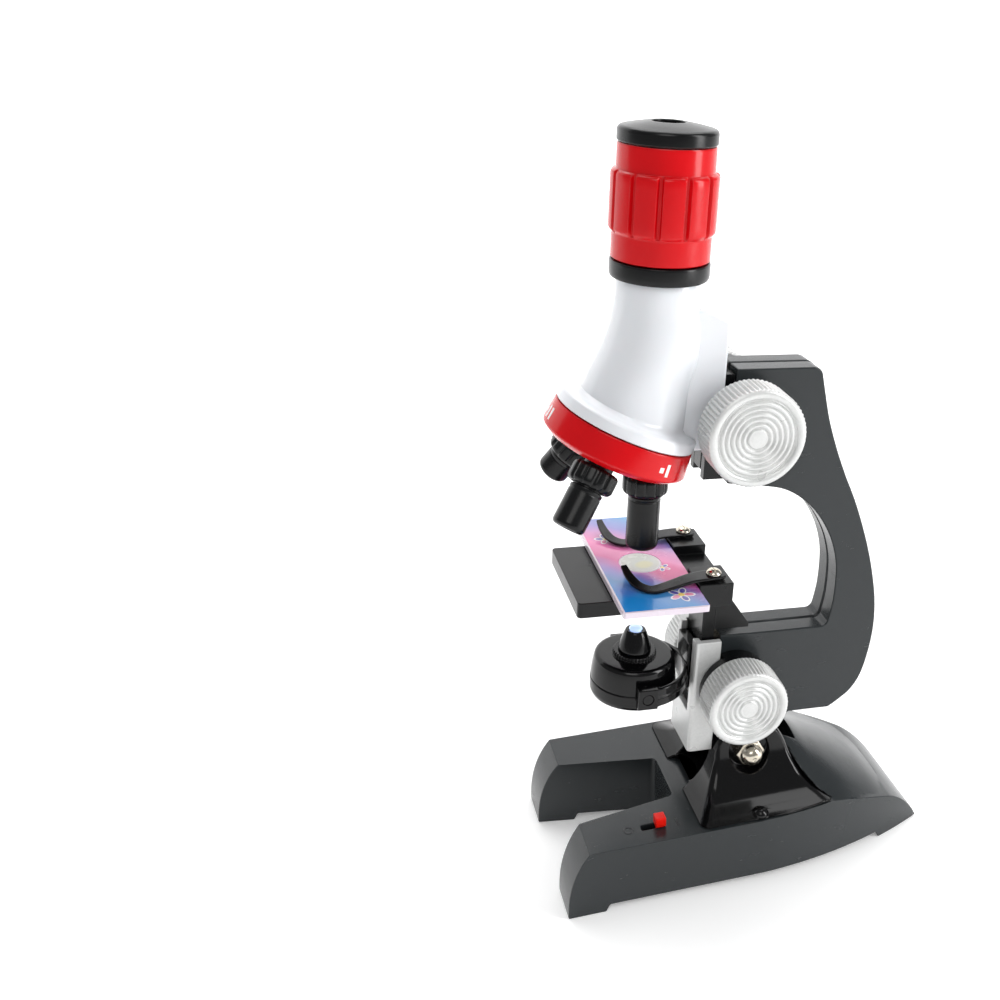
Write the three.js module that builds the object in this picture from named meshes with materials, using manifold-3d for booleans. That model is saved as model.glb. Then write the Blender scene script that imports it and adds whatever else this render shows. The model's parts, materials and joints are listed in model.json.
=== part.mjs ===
// Kids microscope: horseshoe base, tilting C-shaped arm, rack-and-pinion head and stage,
// triple nosepiece and a lamp that flips over to a mirror.
//
// Millimetres. World frame: origin on the floor under the tilt hinge, +X to the back of the
// instrument, +Y to its far side, +Z up. Everything above the hinge is built in the arm frame,
// whose origin is the hinge axis and whose +Z runs along the optical axis.

import * as THREE from 'three';
import { mergeVertices } from 'three/addons/utils/BufferGeometryUtils.js';
import Module from 'manifold-3d';

const wasm = await Module();
wasm.setup();

// ---------------------------------------------------------------- driving dimensions

const gap = 0.3;                        // clearance between touching pieces
const tilt = THREE.MathUtils.degToRad(3.5);
const hingeHeight = 36.1;

const base = {
  front: -61.1, back: 59.1, halfWidth: 28.7, topHeight: 22.3, wall: 2,
  legInnerFront: 15.6, legInnerBack: 9.8, crotch: -23.5, archHeight: 2.4, footLength: 11.5,
};
const armThickness = 12.7;
const optical = { x: -34.95 };          // optical axis in the arm frame
const focusKnob = { x: -11.87, z: 106.49, radius: 13.8, length: 10.2, face: 22.9 };
const stageKnob = { x: -5.94, z: 21.95, radius: 12.27, length: 10.2, face: 22.9 };
const rackPitch = 2.01;                 // tooth pitch shared by both racks
const focusTeeth = 10;
const stageTeeth = 19;
const focusPinionRadius = (rackPitch * focusTeeth) / (2 * Math.PI);
const stagePinionRadius = (rackPitch * stageTeeth) / (2 * Math.PI);

const stage = { front: -57.2, back: -12.7, halfWidth: 17.35, top: 59.0, thickness: 4.6 };
const nose = { x: -41.97, z: 104.18, tilt: THREE.MathUtils.degToRad(21.34), radius: 20.2 };
const noseApex = (optical.x - nose.x) / Math.sin(nose.tilt);   // above the disc's top face
const objectiveTips = { long: 55.6, medium: 51, short: 46.5 }; // from the apex to the tip
const lampPivot = 25;                   // height of the lamp's flip axis in the arm frame
const eyepieceTop = 183.8;
const column = { front: -27, back: -16.6, halfWidth: 8, bottom: 98, top: 137.4, backTop: 134.2 };

// ---------------------------------------------------------------- geometry helpers

// Closed geometry to a solid whose faces point out, whichever way its profile was drawn.
const solid = (geometry) => {
  const bare = geometry.clone();
  bare.deleteAttribute('normal');
  bare.deleteAttribute('uv');
  const merged = mergeVertices(bare, 1e-4);
  const corner = (k) => new THREE.Vector3().fromBufferAttribute(merged.attributes.position, k);
  const triangles = [];
  let volume = 0;
  for (let i = 0; i < merged.index.count; i += 3) {
    const [a, b, c] = [0, 1, 2].map((k) => merged.index.getX(i + k));
    if (a !== b && b !== c && c !== a) triangles.push([a, b, c]);
    volume += corner(a).dot(corner(b).cross(corner(c)));
  }
  const facingOut = volume < 0 ? triangles.map((triangle) => triangle.reverse()) : triangles;
  const vertProperties = new Float32Array(merged.attributes.position.array);
  return new wasm.Manifold(new wasm.Mesh({
    numProp: 3,
    vertProperties,
    triVerts: new Uint32Array(facingOut.flat()),
  }));
};

const geometryOf = (manifold) => {
  const mesh = manifold.getMesh();
  const geometry = new THREE.BufferGeometry();
  geometry.setAttribute('position', new THREE.BufferAttribute(new Float32Array(mesh.vertProperties), 3));
  geometry.setIndex(new THREE.BufferAttribute(new Uint32Array(mesh.triVerts), 1));
  geometry.computeVertexNormals();
  return geometry;
};

const join = (first, ...rest) => rest.reduce((sum, part) => sum.add(part), first);
const cut = (first, ...rest) => rest.reduce((left, part) => left.subtract(part), first);

const box = (x0, x1, y0, y1, z0, z1) => solid(new THREE.BoxGeometry(x1 - x0, y1 - y0, z1 - z0)
  .translate((x0 + x1) / 2, (y0 + y1) / 2, (z0 + z1) / 2));

// A profile of [radius, height] pairs turned about the +Z axis; closed = a ring off the axis.
const turned = (profile, { segments = 20, x = 0, y = 0, z = 0, closed = false } = {}) => {
  const points = profile.map(([r, h]) => new THREE.Vector2(r, h));
  if (closed) points.push(points[0].clone());
  return solid(new THREE.LatheGeometry(points, segments).rotateX(Math.PI / 2).translate(x, y, z));
};

const disc = (radius, z0, z1, { x = 0, y = 0, segments = 20 } = {}) => turned(
  [[0, z0], [radius, z0], [radius, z1], [0, z1]],
  { segments, x, y },
);

const ring = (outer, inner, z0, z1, options = {}) => turned(
  [[inner, z0], [outer, z0], [outer, z1], [inner, z1]],
  { ...options, closed: true },
);

// The same turned shapes with their axis along +Y, through (x, z).
const turnedY = (profile, { x = 0, z = 0, segments = 20, closed = false } = {}) => {
  const points = profile.map(([r, h]) => new THREE.Vector2(r, h));
  if (closed) points.push(points[0].clone());
  return solid(new THREE.LatheGeometry(points, segments).translate(x, 0, z));
};

const discY = (radius, y0, y1, options = {}) => turnedY(
  [[0, y0], [radius, y0], [radius, y1], [0, y1]],
  options,
);

const shapeOf = (points) => new THREE.Shape(points.map(([u, v]) => new THREE.Vector2(u, v)));

// A shape drawn in plan (x, y), from height z0 to z1.
const planPrism = (shape, z0, z1, curveSegments = 5) => solid(new THREE.ExtrudeGeometry(
  shape,
  { depth: z1 - z0, bevelEnabled: false, curveSegments },
).translate(0, 0, z0));

// A shape drawn in side view (x, z), from y0 to y1.
const sidePrism = (shape, y0, y1, curveSegments = 5) => solid(new THREE.ExtrudeGeometry(
  shape,
  { depth: y1 - y0, bevelEnabled: false, curveSegments },
).rotateX(Math.PI / 2).translate(0, y1, 0));

// A solid skinned over rings of points, all with the same count, first ring to last.
const loft = (rings) => {
  const count = rings[0].length;
  const points = rings.flat();
  const index = [];
  for (let r = 0; r + 1 < rings.length; r += 1) {
    for (let k = 0; k < count; k += 1) {
      const a = r * count + k;
      const b = r * count + ((k + 1) % count);
      index.push(a, b, b + count, a, b + count, a + count);
    }
  }
  const addCap = (start, ringPoints, first) => {
    const centre = new THREE.Vector3();
    ringPoints.forEach((point) => centre.addScaledVector(point, 1 / count));
    const hub = points.push(centre) - 1;
    for (let k = 0; k < count; k += 1) {
      const pair = [start + k, start + ((k + 1) % count)];
      index.push(hub, ...(first ? pair.reverse() : pair));
    }
  };
  addCap(0, rings[0], true);
  addCap((rings.length - 1) * count, rings.at(-1), false);
  const geometry = new THREE.BufferGeometry().setFromPoints(points);
  geometry.setIndex(index);
  return solid(geometry);
};

// A ring for loft(): a circle whose plane leans forward about +Y by lean.
const circle = ({ x, z, radius, lean = 0, count = 24 }) => Array.from({ length: count }, (_, k) => {
  const turn = (2 * Math.PI * k) / count;
  const along = radius * Math.cos(turn);
  return new THREE.Vector3(x + along * Math.cos(lean), radius * Math.sin(turn), z - along * Math.sin(lean));
});

// A ring for loft(): an upright rounded rectangle at height z.
const roundedSection = ({ x0, x1, halfWidth, corner, z }) => {
  const steps = 2;
  const centres = [[x1 - corner, halfWidth - corner], [x0 + corner, halfWidth - corner],
    [x0 + corner, corner - halfWidth], [x1 - corner, corner - halfWidth]];
  return centres.flatMap(([cx, cy], quarter) => Array.from({ length: steps + 1 }, (_, k) => {
    const turn = (quarter + k / steps) * (Math.PI / 2);
    return new THREE.Vector3(cx + corner * Math.cos(turn), cy + corner * Math.sin(turn), z);
  }));
};

const hexagonY = (acrossFlats, y0, y1, x = 0, z = 0) => turnedY(
  [[0, y0], [acrossFlats / Math.sqrt(3), y0], [acrossFlats / Math.sqrt(3), y1], [0, y1]],
  { x, z, segments: 6 },
);

// A closed outline moved inwards by distance; the outline runs counter-clockwise.
const inset = (points, distance) => points.map((point, k) => {
  const before = points[(k + points.length - 1) % points.length];
  const after = points[(k + 1) % points.length];
  const inA = new THREE.Vector2(before[1] - point[1], point[0] - before[0]).normalize();
  const inB = new THREE.Vector2(point[1] - after[1], after[0] - point[0]).normalize();
  const middle = inA.clone().add(inB).normalize();
  const reach = distance / Math.max(0.5, middle.dot(inA));
  return [point[0] + middle.x * reach, point[1] + middle.y * reach];
});

// ---------------------------------------------------------------- materials and nodes

const finish = (color, roughness, metalness = 0) => ({ color, roughness, metalness });
const finishes = {
  charcoal: finish(0x3a3e40, 0.45),
  glossBlack: finish(0x121314, 0.15),
  satinBlack: finish(0x1c1d1e, 0.4),
  red: finish(0xb8101c, 0.2),
  white: finish(0xe9ebee, 0.2),
  silver: finish(0xb9bcbd, 0.35, 0.4),
  steel: finish(0xc8c6c0, 0.25, 1),
  brass: finish(0xb08d3c, 0.35, 1),
  glass: finish(0xdfeaf2, 0.05),
  lampGlass: finish(0xbfd8f5, 0.1),
  mirror: finish(0xe8eef2, 0.03, 1),
  card: finish(0x7a5fb0, 0.35),
  cell: finish(0x2f6f4a, 0.35, 0.3),
};

const node = (name, manifold, look, parent) => {
  const mesh = new THREE.Mesh(geometryOf(manifold), new THREE.MeshStandardMaterial({ ...finishes[look] }));
  mesh.name = name;
  parent.add(mesh);
};

const microscope = new THREE.Group();
const arm = new THREE.Group();
arm.position.z = hingeHeight;
arm.rotation.y = tilt;
microscope.add(arm);

// ---------------------------------------------------------------- base

// Plan of the horseshoe: two forward legs, a tapering tail with a blunt end and rounded corners.
const basePlan = (margin) => {
  const side = base.halfWidth - margin;
  const front = base.front + margin;
  const tail = base.back - margin;
  const legFront = base.legInnerFront + margin;
  const legBack = base.legInnerBack + margin;
  const crotch = base.crotch + margin;
  const shape = new THREE.Shape();
  shape.moveTo(front, -side);
  shape.lineTo(0, -side);
  shape.quadraticCurveTo(30, 1.3 - side, 57 - margin, margin - 15.2);
  shape.quadraticCurveTo(tail, margin - 14.5, tail, margin - 12);
  shape.lineTo(tail, 12 - margin);
  shape.quadraticCurveTo(tail, 14.5 - margin, 57 - margin, 15.2 - margin);
  shape.quadraticCurveTo(30, side - 1.3, 0, side);
  shape.lineTo(front, side);
  shape.lineTo(front, legFront);
  shape.lineTo(crotch - 2, legBack);
  shape.quadraticCurveTo(crotch, legBack, crotch, legBack - 2);
  shape.lineTo(crotch, 2 - legBack);
  shape.quadraticCurveTo(crotch, -legBack, crotch - 2, -legBack);
  shape.lineTo(front, -legFront);
  return shape;
};

// Side view of the base along its edges: bulging leg fronts, flat top, a tail that falls and
// rounds off, and a floor line that is arched between the front and rear feet.
const baseSide = () => {
  const shape = new THREE.Shape();
  const frontTop = base.front + 6.9;
  shape.moveTo(base.front, 0);
  shape.lineTo(base.front + base.footLength, 0);
  shape.lineTo(base.front + base.footLength + 1.2, base.archHeight);
  shape.lineTo(41, base.archHeight);
  shape.lineTo(42.2, 0);
  shape.lineTo(base.back - 0.2, 0);
  shape.quadraticCurveTo(53.6, 10.2, 45.9, 14.4);
  shape.quadraticCurveTo(34, 19.6, 22.5, base.topHeight);
  shape.lineTo(frontTop, base.topHeight);
  shape.quadraticCurveTo(base.front - 0.2, 14, base.front, 0);
  return shape;
};

const baseHollowSide = () => {
  const shape = new THREE.Shape();
  const ceiling = base.topHeight - base.wall;
  shape.moveTo(base.front + 3, -1);
  shape.lineTo(base.back - 3.2, -1);
  shape.lineTo(base.back - 4.4, 2);
  shape.quadraticCurveTo(51, 8.4, 45, 11.8);
  shape.quadraticCurveTo(33, 17, 21.5, ceiling);
  shape.lineTo(base.front + 9.5, ceiling);
  shape.quadraticCurveTo(base.front + 3, 13, base.front + 3, -1);
  return shape;
};

// The saddle behind the fork: its crest falls towards the tail, and at each station it flares
// out from the crest to the base's edges.
const saddle = {
  stations: [
    { x: 9.3, crest: 37.4, edge: 22.2 },
    { x: 13.6, crest: 36.6, edge: 22.2 },
    { x: 18.4, crest: 33.2, edge: 22.2 },
    { x: 23, crest: 30, edge: 22 },
    { x: 29, crest: 26.2, edge: 20.6 },
    { x: 36, crest: 21.8, edge: 17.8 },
    { x: 42, crest: 17.8, edge: 15.6 },
    { x: 47.3, crest: 13.7, edge: 13.4 },
  ],
  crestHalf: 8, flare: 1.3, floor: 10, slotEnd: 17.5,
};

const saddleLoft = (stations, margin) => loft(stations.map(({ x, crest, edge }) => {
  const steps = 6;
  const edgeHalf = base.halfWidth + 1 - margin;
  const half = Array.from({ length: steps + 1 }, (_, k) => {
    const y = edgeHalf - (edgeHalf - saddle.crestHalf) * (k / steps);
    return [y, edge + (crest - edge) * (k / steps) ** saddle.flare];
  });
  const across = [...half, ...half.toReversed().map(([y, z]) => [-y, z])];
  return [[-edgeHalf, saddle.floor], [edgeHalf, saddle.floor], ...across.map(([y, z]) => [y, z - margin])]
    .map(([y, z]) => new THREE.Vector3(x, y, z));
}));

// Glossy fork that carries the arm: a skirt as wide as the base that narrows to two cheeks.
const forkSections = [
  { z: 22.6, x0: -20, x1: 22.5, halfWidth: 28, corner: 3 },
  { z: 23.4, x0: -18.6, x1: 21, halfWidth: 25.4, corner: 3 },
  { z: 25.4, x0: -16, x1: 18.4, halfWidth: 20.6, corner: 2.6 },
  { z: 28.5, x0: -13.6, x1: 15.8, halfWidth: 16.6, corner: 2.2 },
  { z: 32.5, x0: -11.8, x1: 13.6, halfWidth: 13.9, corner: 1.8 },
  { z: 37, x0: -10.6, x1: 12, halfWidth: 12.3, corner: 1.5 },
  { z: 41, x0: -9, x1: 9.8, halfWidth: 11.6, corner: 1.5 },
  { z: 44, x0: -5.6, x1: 6, halfWidth: 11.3, corner: 1.5 },
  { z: 45, x0: -2.6, x1: 3, halfWidth: 11.2, corner: 1.3 },
];
const forkBlank = () => loft(forkSections.map(roundedSection));

// The room the fork needs in the hump behind it: the same skin, one gap larger all round.
const forkRoom = () => {
  const grown = forkSections.map((section) => ({
    ...section,
    x0: section.x0 - gap,
    x1: section.x1 + gap,
    halfWidth: section.halfWidth + gap,
  }));
  return loft([{ ...grown[0], z: grown[0].z - gap }, ...grown].map(roundedSection));
};

// Everything above the base's top and in front of the fork's rear edge, where the hump must end.
const forkFront = () => {
  const rearEdge = forkSections.map(({ z, x1 }) => [x1 + gap, z]);
  return sidePrism(shapeOf([[-30, base.topHeight + 0.05], [22.8, base.topHeight + 0.05], ...rearEdge.slice(1),
    [3.3, 60], [-30, 60]]), -40, 40);
};

const cheekInner = armThickness / 2 + 0.6;
const nutRecess = 6.4;
const boltRadius = 2;

// The fork, with a small dome on the near edge of its skirt.
const buildHingeFork = () => {
  const slot = box(-25, 8.5, -cheekInner, cheekInner, 24.3, 50);
  const rearSlot = box(8, 25, -cheekInner, cheekInner, 26, 50);
  const boltHole = discY(boltRadius + 0.2, -30, 30, { z: hingeHeight });
  const recesses = [[-30, -11], [11, 30]].map(([y0, y1]) => discY(nutRecess, y0, y1, { z: hingeHeight }));
  const frontNotch = disc(8, 20, 25, { x: -21.4 });
  const outline = planPrism(basePlan(0.4), 20, 50);
  const skirt = join(forkBlank(), turned([[0, 22.7], [2.2, 22.7], [2.2, 23.4], [1.6, 24.5], [0.7, 25], [0, 25.1]], {
    x: -1, y: -26,
  }));
  return cut(skirt.intersect(outline), slot, rearSlot, boltHole, ...recesses, frontNotch);
};

const switchPlace = { x: -31.3, y: -21.6, size: 3.2, travel: 4.2, stemHalf: 0.8, stemReach: 1.2 };
const coverScrews = [
  { name: 'base_screw_left', x: -52, y: 22, ceiling: 20 },
  { name: 'base_screw_right', x: -52, y: -22, ceiling: 20 },
  { name: 'base_screw_rear', x: 46, y: 0, ceiling: 10.4 },
];
const coverThickness = 1.6;
const coverLevel = base.archHeight + 0.2;

const buildBaseShell = () => {
  const hump = cut(saddleLoft(saddle.stations, 0), forkFront());
  const upper = join(sidePrism(baseSide(), -40, 40), hump);
  const outside = planPrism(basePlan(0), -1, 60).intersect(upper);
  const room = join(sidePrism(baseHollowSide(), -40, 40), saddleLoft(saddle.stations.slice(3, -1), 3));
  const hollow = planPrism(basePlan(base.wall), -2, 60).intersect(room);
  const forkSeat = forkRoom();
  const armSlot = box(-18, saddle.slotEnd, -cheekInner, cheekInner, 24.3, 60);
  const { x, y, travel, stemHalf, stemReach } = switchPlace;
  const slotEnd = stemReach + gap;
  const slotHalf = stemHalf + gap;
  const switchSlot = box(x - travel - slotEnd, x + slotEnd, y - slotHalf, y + slotHalf, 18, 24);
  const bosses = coverScrews.map((screw) => join(
    ring(2.6, 0.9, coverLevel + coverThickness + gap, screw.ceiling, screw),
    disc(2.6, screw.ceiling - 1, screw.ceiling + 0.8, screw),
  ));
  return join(cut(outside, hollow, forkSeat, armSlot, switchSlot), ...bosses);
};

const batteryBay = { x0: -19.6, x1: 9.8, halfWidth: 25 };

const buildBaseCover = () => {
  const plate = planPrism(basePlan(base.wall + gap), coverLevel, coverLevel + coverThickness)
    .intersect(box(base.front + 3.6, base.back - 6.4, -40, 40, -1, 30));
  const opening = box(batteryBay.x0, batteryBay.x1, -batteryBay.halfWidth, batteryBay.halfWidth, 0, 10);
  const holes = coverScrews.map((screw) => disc(1.3, -1, 10, { ...screw, segments: 12 }));
  return cut(plate, opening, ...holes);
};

const buildBatteryDoor = () => {
  const { x0, x1, halfWidth } = batteryBay;
  const lid = box(x0 + gap, x1 - gap, -halfWidth + gap, halfWidth - gap, coverLevel, coverLevel + 1.4);
  const grip = box(x1 - 5, x1 - 3.6, -6, 6, coverLevel - 1, coverLevel + 0.5);
  return cut(lid, grip);
};

const batteryRadius = 7.1;
const batteryCentres = [-12.4, 2.6];
const batteryHeight = coverLevel + 1.6 + batteryRadius + 0.3;

const buildBattery = (x, plusSide) => {
  const half = 24.2;
  const profile = [[0, -half], [batteryRadius, -half], [batteryRadius, half - 0.6], [2.6, half - 0.4],
    [2.6, half + 1], [0, half + 1]].map(([r, h]) => [r, h * plusSide]);
  return turnedY(plusSide > 0 ? profile : profile.reverse(), { x, z: batteryHeight, segments: 24 });
};

const contactPlate = (x0, x1, side) => {
  const [y0, y1] = side > 0 ? [25.5, 25.9] : [-25.9, -25.5];
  return box(x0, x1, y0, y1, 6, 17.5);
};
const contactCone = (x, side) => turnedY(
  [[0, 24.5 * side], [2.2, 24.5 * side], [4, 25.6 * side], [0, 25.6 * side]],
  { x, z: batteryHeight, segments: 16 },
);

const buildHingeBolt = () => join(
  discY(boltRadius, -14.6, 11.5, { z: hingeHeight, segments: 16 }),
  hexagonY(7, 11.3, 14.4, 0, hingeHeight),
);

const buildHingeNut = () => {
  const hexagon = hexagonY(8, -14, -11.3, 0, hingeHeight);
  const dome = turnedY(
    [[0, -17.4], [1.8, -17.1], [3, -16.1], [3.5, -14.6], [3.5, -13.8], [0, -13.8]],
    { z: hingeHeight, segments: 16 },
  );
  return cut(join(hexagon, dome), discY(boltRadius + 0.15, -15, -11, { z: hingeHeight, segments: 16 }));
};

const buildCoverScrew = ({ x, y }) => join(
  disc(0.85, coverLevel + 1, coverLevel + 5, { x, y, segments: 8 }),
  disc(2.1, coverLevel - 1, coverLevel - gap, { x, y, segments: 12 }),
  disc(1.1, coverLevel - gap - 0.1, coverLevel + 1.1, { x, y, segments: 8 }),
);

const buildSwitchHousing = () => {
  const { x, y, travel } = switchPlace;
  const body = box(x - travel - 3, x + 3.4, y - 3.4, y + 3.4, 12, 19.9);
  const track = box(x - travel - 1.9, x + 2.3, y - 1.8, y + 1.8, 16, 21);
  return cut(body, track);
};

const buildSwitchSlider = () => {
  const { x, y, size, stemHalf, stemReach } = switchPlace;
  return join(
    box(x - size / 2, x + size / 2, y - size / 2, y + size / 2, base.topHeight + gap, base.topHeight + 3.4),
    box(x - stemReach, x + stemReach, y - stemHalf, y + stemHalf, 18, base.topHeight + 1),
    box(x - 1.5, x + 1.5, y - 1.5, y + 1.5, 16.3, 18.4),
  );
};

const buildBase = () => {
  node('base_shell', buildBaseShell(), 'charcoal', microscope);
  node('hinge_fork', buildHingeFork(), 'glossBlack', microscope);
  node('base_cover', buildBaseCover(), 'charcoal', microscope);
  node('battery_door', buildBatteryDoor(), 'charcoal', microscope);
  node('battery_front', buildBattery(batteryCentres[0], 1), 'cell', microscope);
  node('battery_rear', buildBattery(batteryCentres[1], -1), 'cell', microscope);
  const [front, rear] = batteryCentres;
  node('contact_bridge', join(contactPlate(-17.5, 7, 1), contactCone(rear, 1)), 'steel', microscope);
  node('contact_spring', join(contactPlate(-17.5, -6.5, -1), contactCone(front, -1)), 'steel', microscope);
  node('contact_plain', contactPlate(-3.6, 7, -1), 'steel', microscope);
  node('hinge_bolt', buildHingeBolt(), 'steel', microscope);
  node('hinge_nut', buildHingeNut(), 'steel', microscope);
  coverScrews.forEach((screw) => node(screw.name, buildCoverScrew(screw), 'steel', microscope));
  node('switch_housing', buildSwitchHousing(), 'satinBlack', microscope);
  node('switch_slider', buildSwitchSlider(), 'red', microscope);
};

// ---------------------------------------------------------------- arm (arm frame)

// Side view of the C-shaped arm, counter-clockwise: foot lobe on the hinge, bowed back,
// flat top, then the open bay between the head and the stage.
const lobe = Array.from({ length: 9 }, (_, k) => {
  const turn = Math.PI * (1 + k / 8);
  return [8 * Math.cos(turn), 8 * Math.sin(turn)];
});
const bowedBack = [
  [28, 8.2], [31.6, 10.8], [35, 14], [37.7, 19.2], [39.3, 27.4], [39.8, 36.5], [38.9, 45.5], [36.9, 54.2],
  [34.3, 62.7], [31.1, 71.2], [27.5, 79.5], [23.4, 87.6], [19.7, 95.7], [16.2, 104.8], [13.8, 113.2],
  [12.2, 120.4],
];
const bay = [
  [-2, 85.6], [3.4, 84.6], [8.2, 82.5], [13, 78.9], [17, 74.5], [20.8, 68.5], [23.2, 62.5], [24.5, 56.2],
  [24.8, 47], [24.1, 40.6], [23.4, 37.9],
];
const armFront = { upper: -13, lower: -10.6 };
const armOutline = [
  ...lobe, [9.2, 5.4], [14.7, 8.2], ...bowedBack,
  [armFront.upper, 120.6], [armFront.upper, 87], ...bay, [armFront.lower, 37.9], [armFront.lower, 3],
];

const shaftRadius = 2;
const boreRadius = shaftRadius + 0.15;
const bossFace = 12.2;                  // outer face of the bosses behind the knobs
const armScrews = [{ name: 'arm_screw_upper', x: 12, z: 98 }, { name: 'arm_screw_lower', x: 30, z: 28 }];

const buildArmShell = (side) => {
  const between = (y0, y1) => (side > 0 ? [y0, y1] : [-y1, -y0]);
  const outer = sidePrism(shapeOf(armOutline), ...between(0.05, armThickness / 2));
  const pocket = sidePrism(shapeOf(inset(armOutline, 1.8)), ...between(-1, armThickness / 2 - 1.8));
  const hingeBoss = discY(5, ...between(0.05, armThickness / 2), { segments: 16 });
  const focusBoss = cut(
    discY(10.5, ...between(armThickness / 2 - 1, bossFace), focusKnob),
    box(-40, armFront.upper, ...between(0, column.halfWidth + 0.4), 80, 130),
  );
  const bossesSolid = [
    discY(8.6, ...between(0.05, armThickness / 2), { x: focusKnob.x + 4, z: focusKnob.z }),
    ...armScrews.map((screw) => discY(3, ...between(0.05, armThickness / 2), { ...screw, segments: 12 })),
  ].map((boss) => boss.intersect(outer));
  const bores = [
    discY(boltRadius + 0.3, ...between(-1, 8), { segments: 16 }),
    discY(4.2, ...between(-1, 3.6), { ...focusKnob, segments: 16 }),
    ...[focusKnob, stageKnob].map((knob) => (
      discY(boreRadius, ...between(-1, 20), { ...knob, segments: 16 }))),
    ...armScrews.map((screw) => discY(1.2, ...between(-1, side > 0 ? 4.4 : 8), { ...screw, segments: 12 })),
    ...(side < 0 ? [] : armScrews.map((screw) => discY(2.4, 4.2, 8, { ...screw, segments: 12 }))),
  ];
  const rackWindows = [
    box(armFront.upper - 1, focusKnob.x + 4.2, ...between(-1, 3.6), 100.5, 112.5),
    box(armFront.lower - 1, 1.6, ...between(-1, 3.6), stageKnob.z - 7.2, stageKnob.z + 7.2),
  ];
  return cut(join(cut(outer, pocket), hingeBoss, focusBoss, ...bossesSolid), ...bores, ...rackWindows);
};

// Bush that carries the stage shaft: a round flange behind each knob, notched for the guide.
const buildStageBush = (side) => {
  const between = (y0, y1) => (side > 0 ? [y0, y1] : [-y1, -y0]);
  const [y0, y1] = between(armThickness / 2 + gap, bossFace);
  const flange = turnedY(
    [[boreRadius, y0], [11, y0], [11, y1], [boreRadius, y1]],
    { ...stageKnob, closed: true },
  );
  return cut(flange, box(-30, guide.back + gap, ...between(0, guide.halfWidth + gap), -10, 50));
};

// Shaft with its pinion in the middle; tooth = half the tooth's angle at its tip.
const buildPinionShaft = (knob, teeth, pitchRadius) => {
  const tip = pitchRadius + 0.5;
  const root = pitchRadius - 0.75;
  const outline = [];
  for (let k = 0; k < teeth; k += 1) {
    const step = (2 * Math.PI) / teeth;
    const centre = Math.PI + k * step;
    [[root, -0.3], [tip, -0.13], [tip, 0.13], [root, 0.3]].forEach(([radius, part]) => {
      outline.push([radius * Math.cos(centre + part * step), radius * Math.sin(centre + part * step)]);
    });
  }
  const gear = solid(new THREE.ExtrudeGeometry(shapeOf(outline), { depth: 5.2, bevelEnabled: false })
    .rotateX(Math.PI / 2).translate(knob.x, 2.6, knob.z));
  return join(discY(shaftRadius, -21, 21, { ...knob, segments: 12 }), gear);
};

// Rack facing +X whose teeth straddle the pinion's pitch line at the pinion's height.
const buildRackTeeth = (pitchLine, centreZ, below, above, halfWidth) => {
  const outline = [];
  const depthIn = 0.8;
  const depthOut = 0.4;
  for (let k = -below; k <= above; k += 1) {
    const z = centreZ + (k + 0.5) * rackPitch;
    outline.push([pitchLine - depthIn, z - 0.58], [pitchLine + depthOut, z - 0.3],
      [pitchLine + depthOut, z + 0.3], [pitchLine - depthIn, z + 0.58]);
  }
  const bottom = outline[0][1] - 0.4;
  const top = outline.at(-1)[1] + 0.4;
  const back = pitchLine - 1.6;
  const root = pitchLine - depthIn;
  const closed = shapeOf([[back, bottom], [root, bottom], ...outline, [root, top], [back, top]]);
  return { teeth: sidePrism(closed, -halfWidth, halfWidth), bottom, top, back };
};

// Knob with a rimmed, slightly dished face and a blind bore for its shaft.
const buildKnob = (knob, side) => {
  const { radius, length, face } = knob;
  const inner = face - length;
  const boreEnd = 21.4;
  const profile = [
    [boreRadius, inner], [radius, inner], [radius, face - 0.8], [radius - 0.8, face], [radius - 2, face],
    [radius - 2.6, face - 0.7], [0, face - 0.4], [0, boreEnd], [boreRadius, boreEnd],
  ];
  return turnedY(profile.map(([r, y]) => [r, y * side]), { ...knob, segments: 24, closed: true });
};

const guide = {
  front: -18.8, back: -10.9, halfWidth: 8.8, bottom: -0.6, top: 37.4, slotBottom: 12, wall: 1.9,
};

// Channel on the arm's front that the stage slides in: open behind and above, slotted in front.
const buildStageGuide = () => {
  const { front, back, halfWidth, bottom, top, slotBottom, wall } = guide;
  const inside = halfWidth - wall;
  return cut(
    box(front, back, -halfWidth, halfWidth, bottom, top),
    box(front + wall, back + 1, -inside, inside, bottom + wall, top + 1),
    box(front - 1, front + wall + 0.5, -5.2, 5.2, slotBottom, top + 1),
  );
};

// Dovetail block on the arm's nose that the head column slides on, open for the rack.
const buildFocusGuide = () => {
  const block = box(-20, armFront.upper - gap, -5.6, 5.6, 88.4, 119);
  const rackPath = box(-21, -14.3, -3.1, 3.1, 80, 130);
  const pinionWindow = box(-16, -12, -3.1, 3.1, 101, 112);
  return cut(block, rackPath, pinionWindow, discY(shaftRadius + 0.3, -10, 10, focusKnob));
};

const lamp = { drum: 12.9, yokeInner: 14.9, yokeOuter: 16.2 };

const buildLampYoke = () => {
  const band = ring(lamp.yokeOuter, lamp.yokeInner, lampPivot - 3, lampPivot + 3, { x: optical.x });
  const rearHalf = band.intersect(box(optical.x - 3, 0, -20, 20, 0, 50));
  const eyes = [[-16.6, -14.2], [14.2, 16.6]].map(([y0, y1]) => (
    box(optical.x - 3, optical.x + 3, y0, y1, lampPivot - 3.2, lampPivot + 3.2)));
  const tongue = box(optical.x + 15.2, guide.front + guide.wall, -4.8, 4.8, lampPivot - 5, lampPivot + 10);
  const pivots = discY(1.7, -20, 20, { x: optical.x, z: lampPivot, segments: 12 });
  return cut(join(rearHalf, ...eyes, tongue), pivots);
};

const buildArmScrew = ({ x, z }) => join(
  discY(2.1, 4.5, 6.1, { x, z, segments: 12 }),
  discY(0.95, -4, 4.6, { x, z, segments: 8 }),
);

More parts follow.
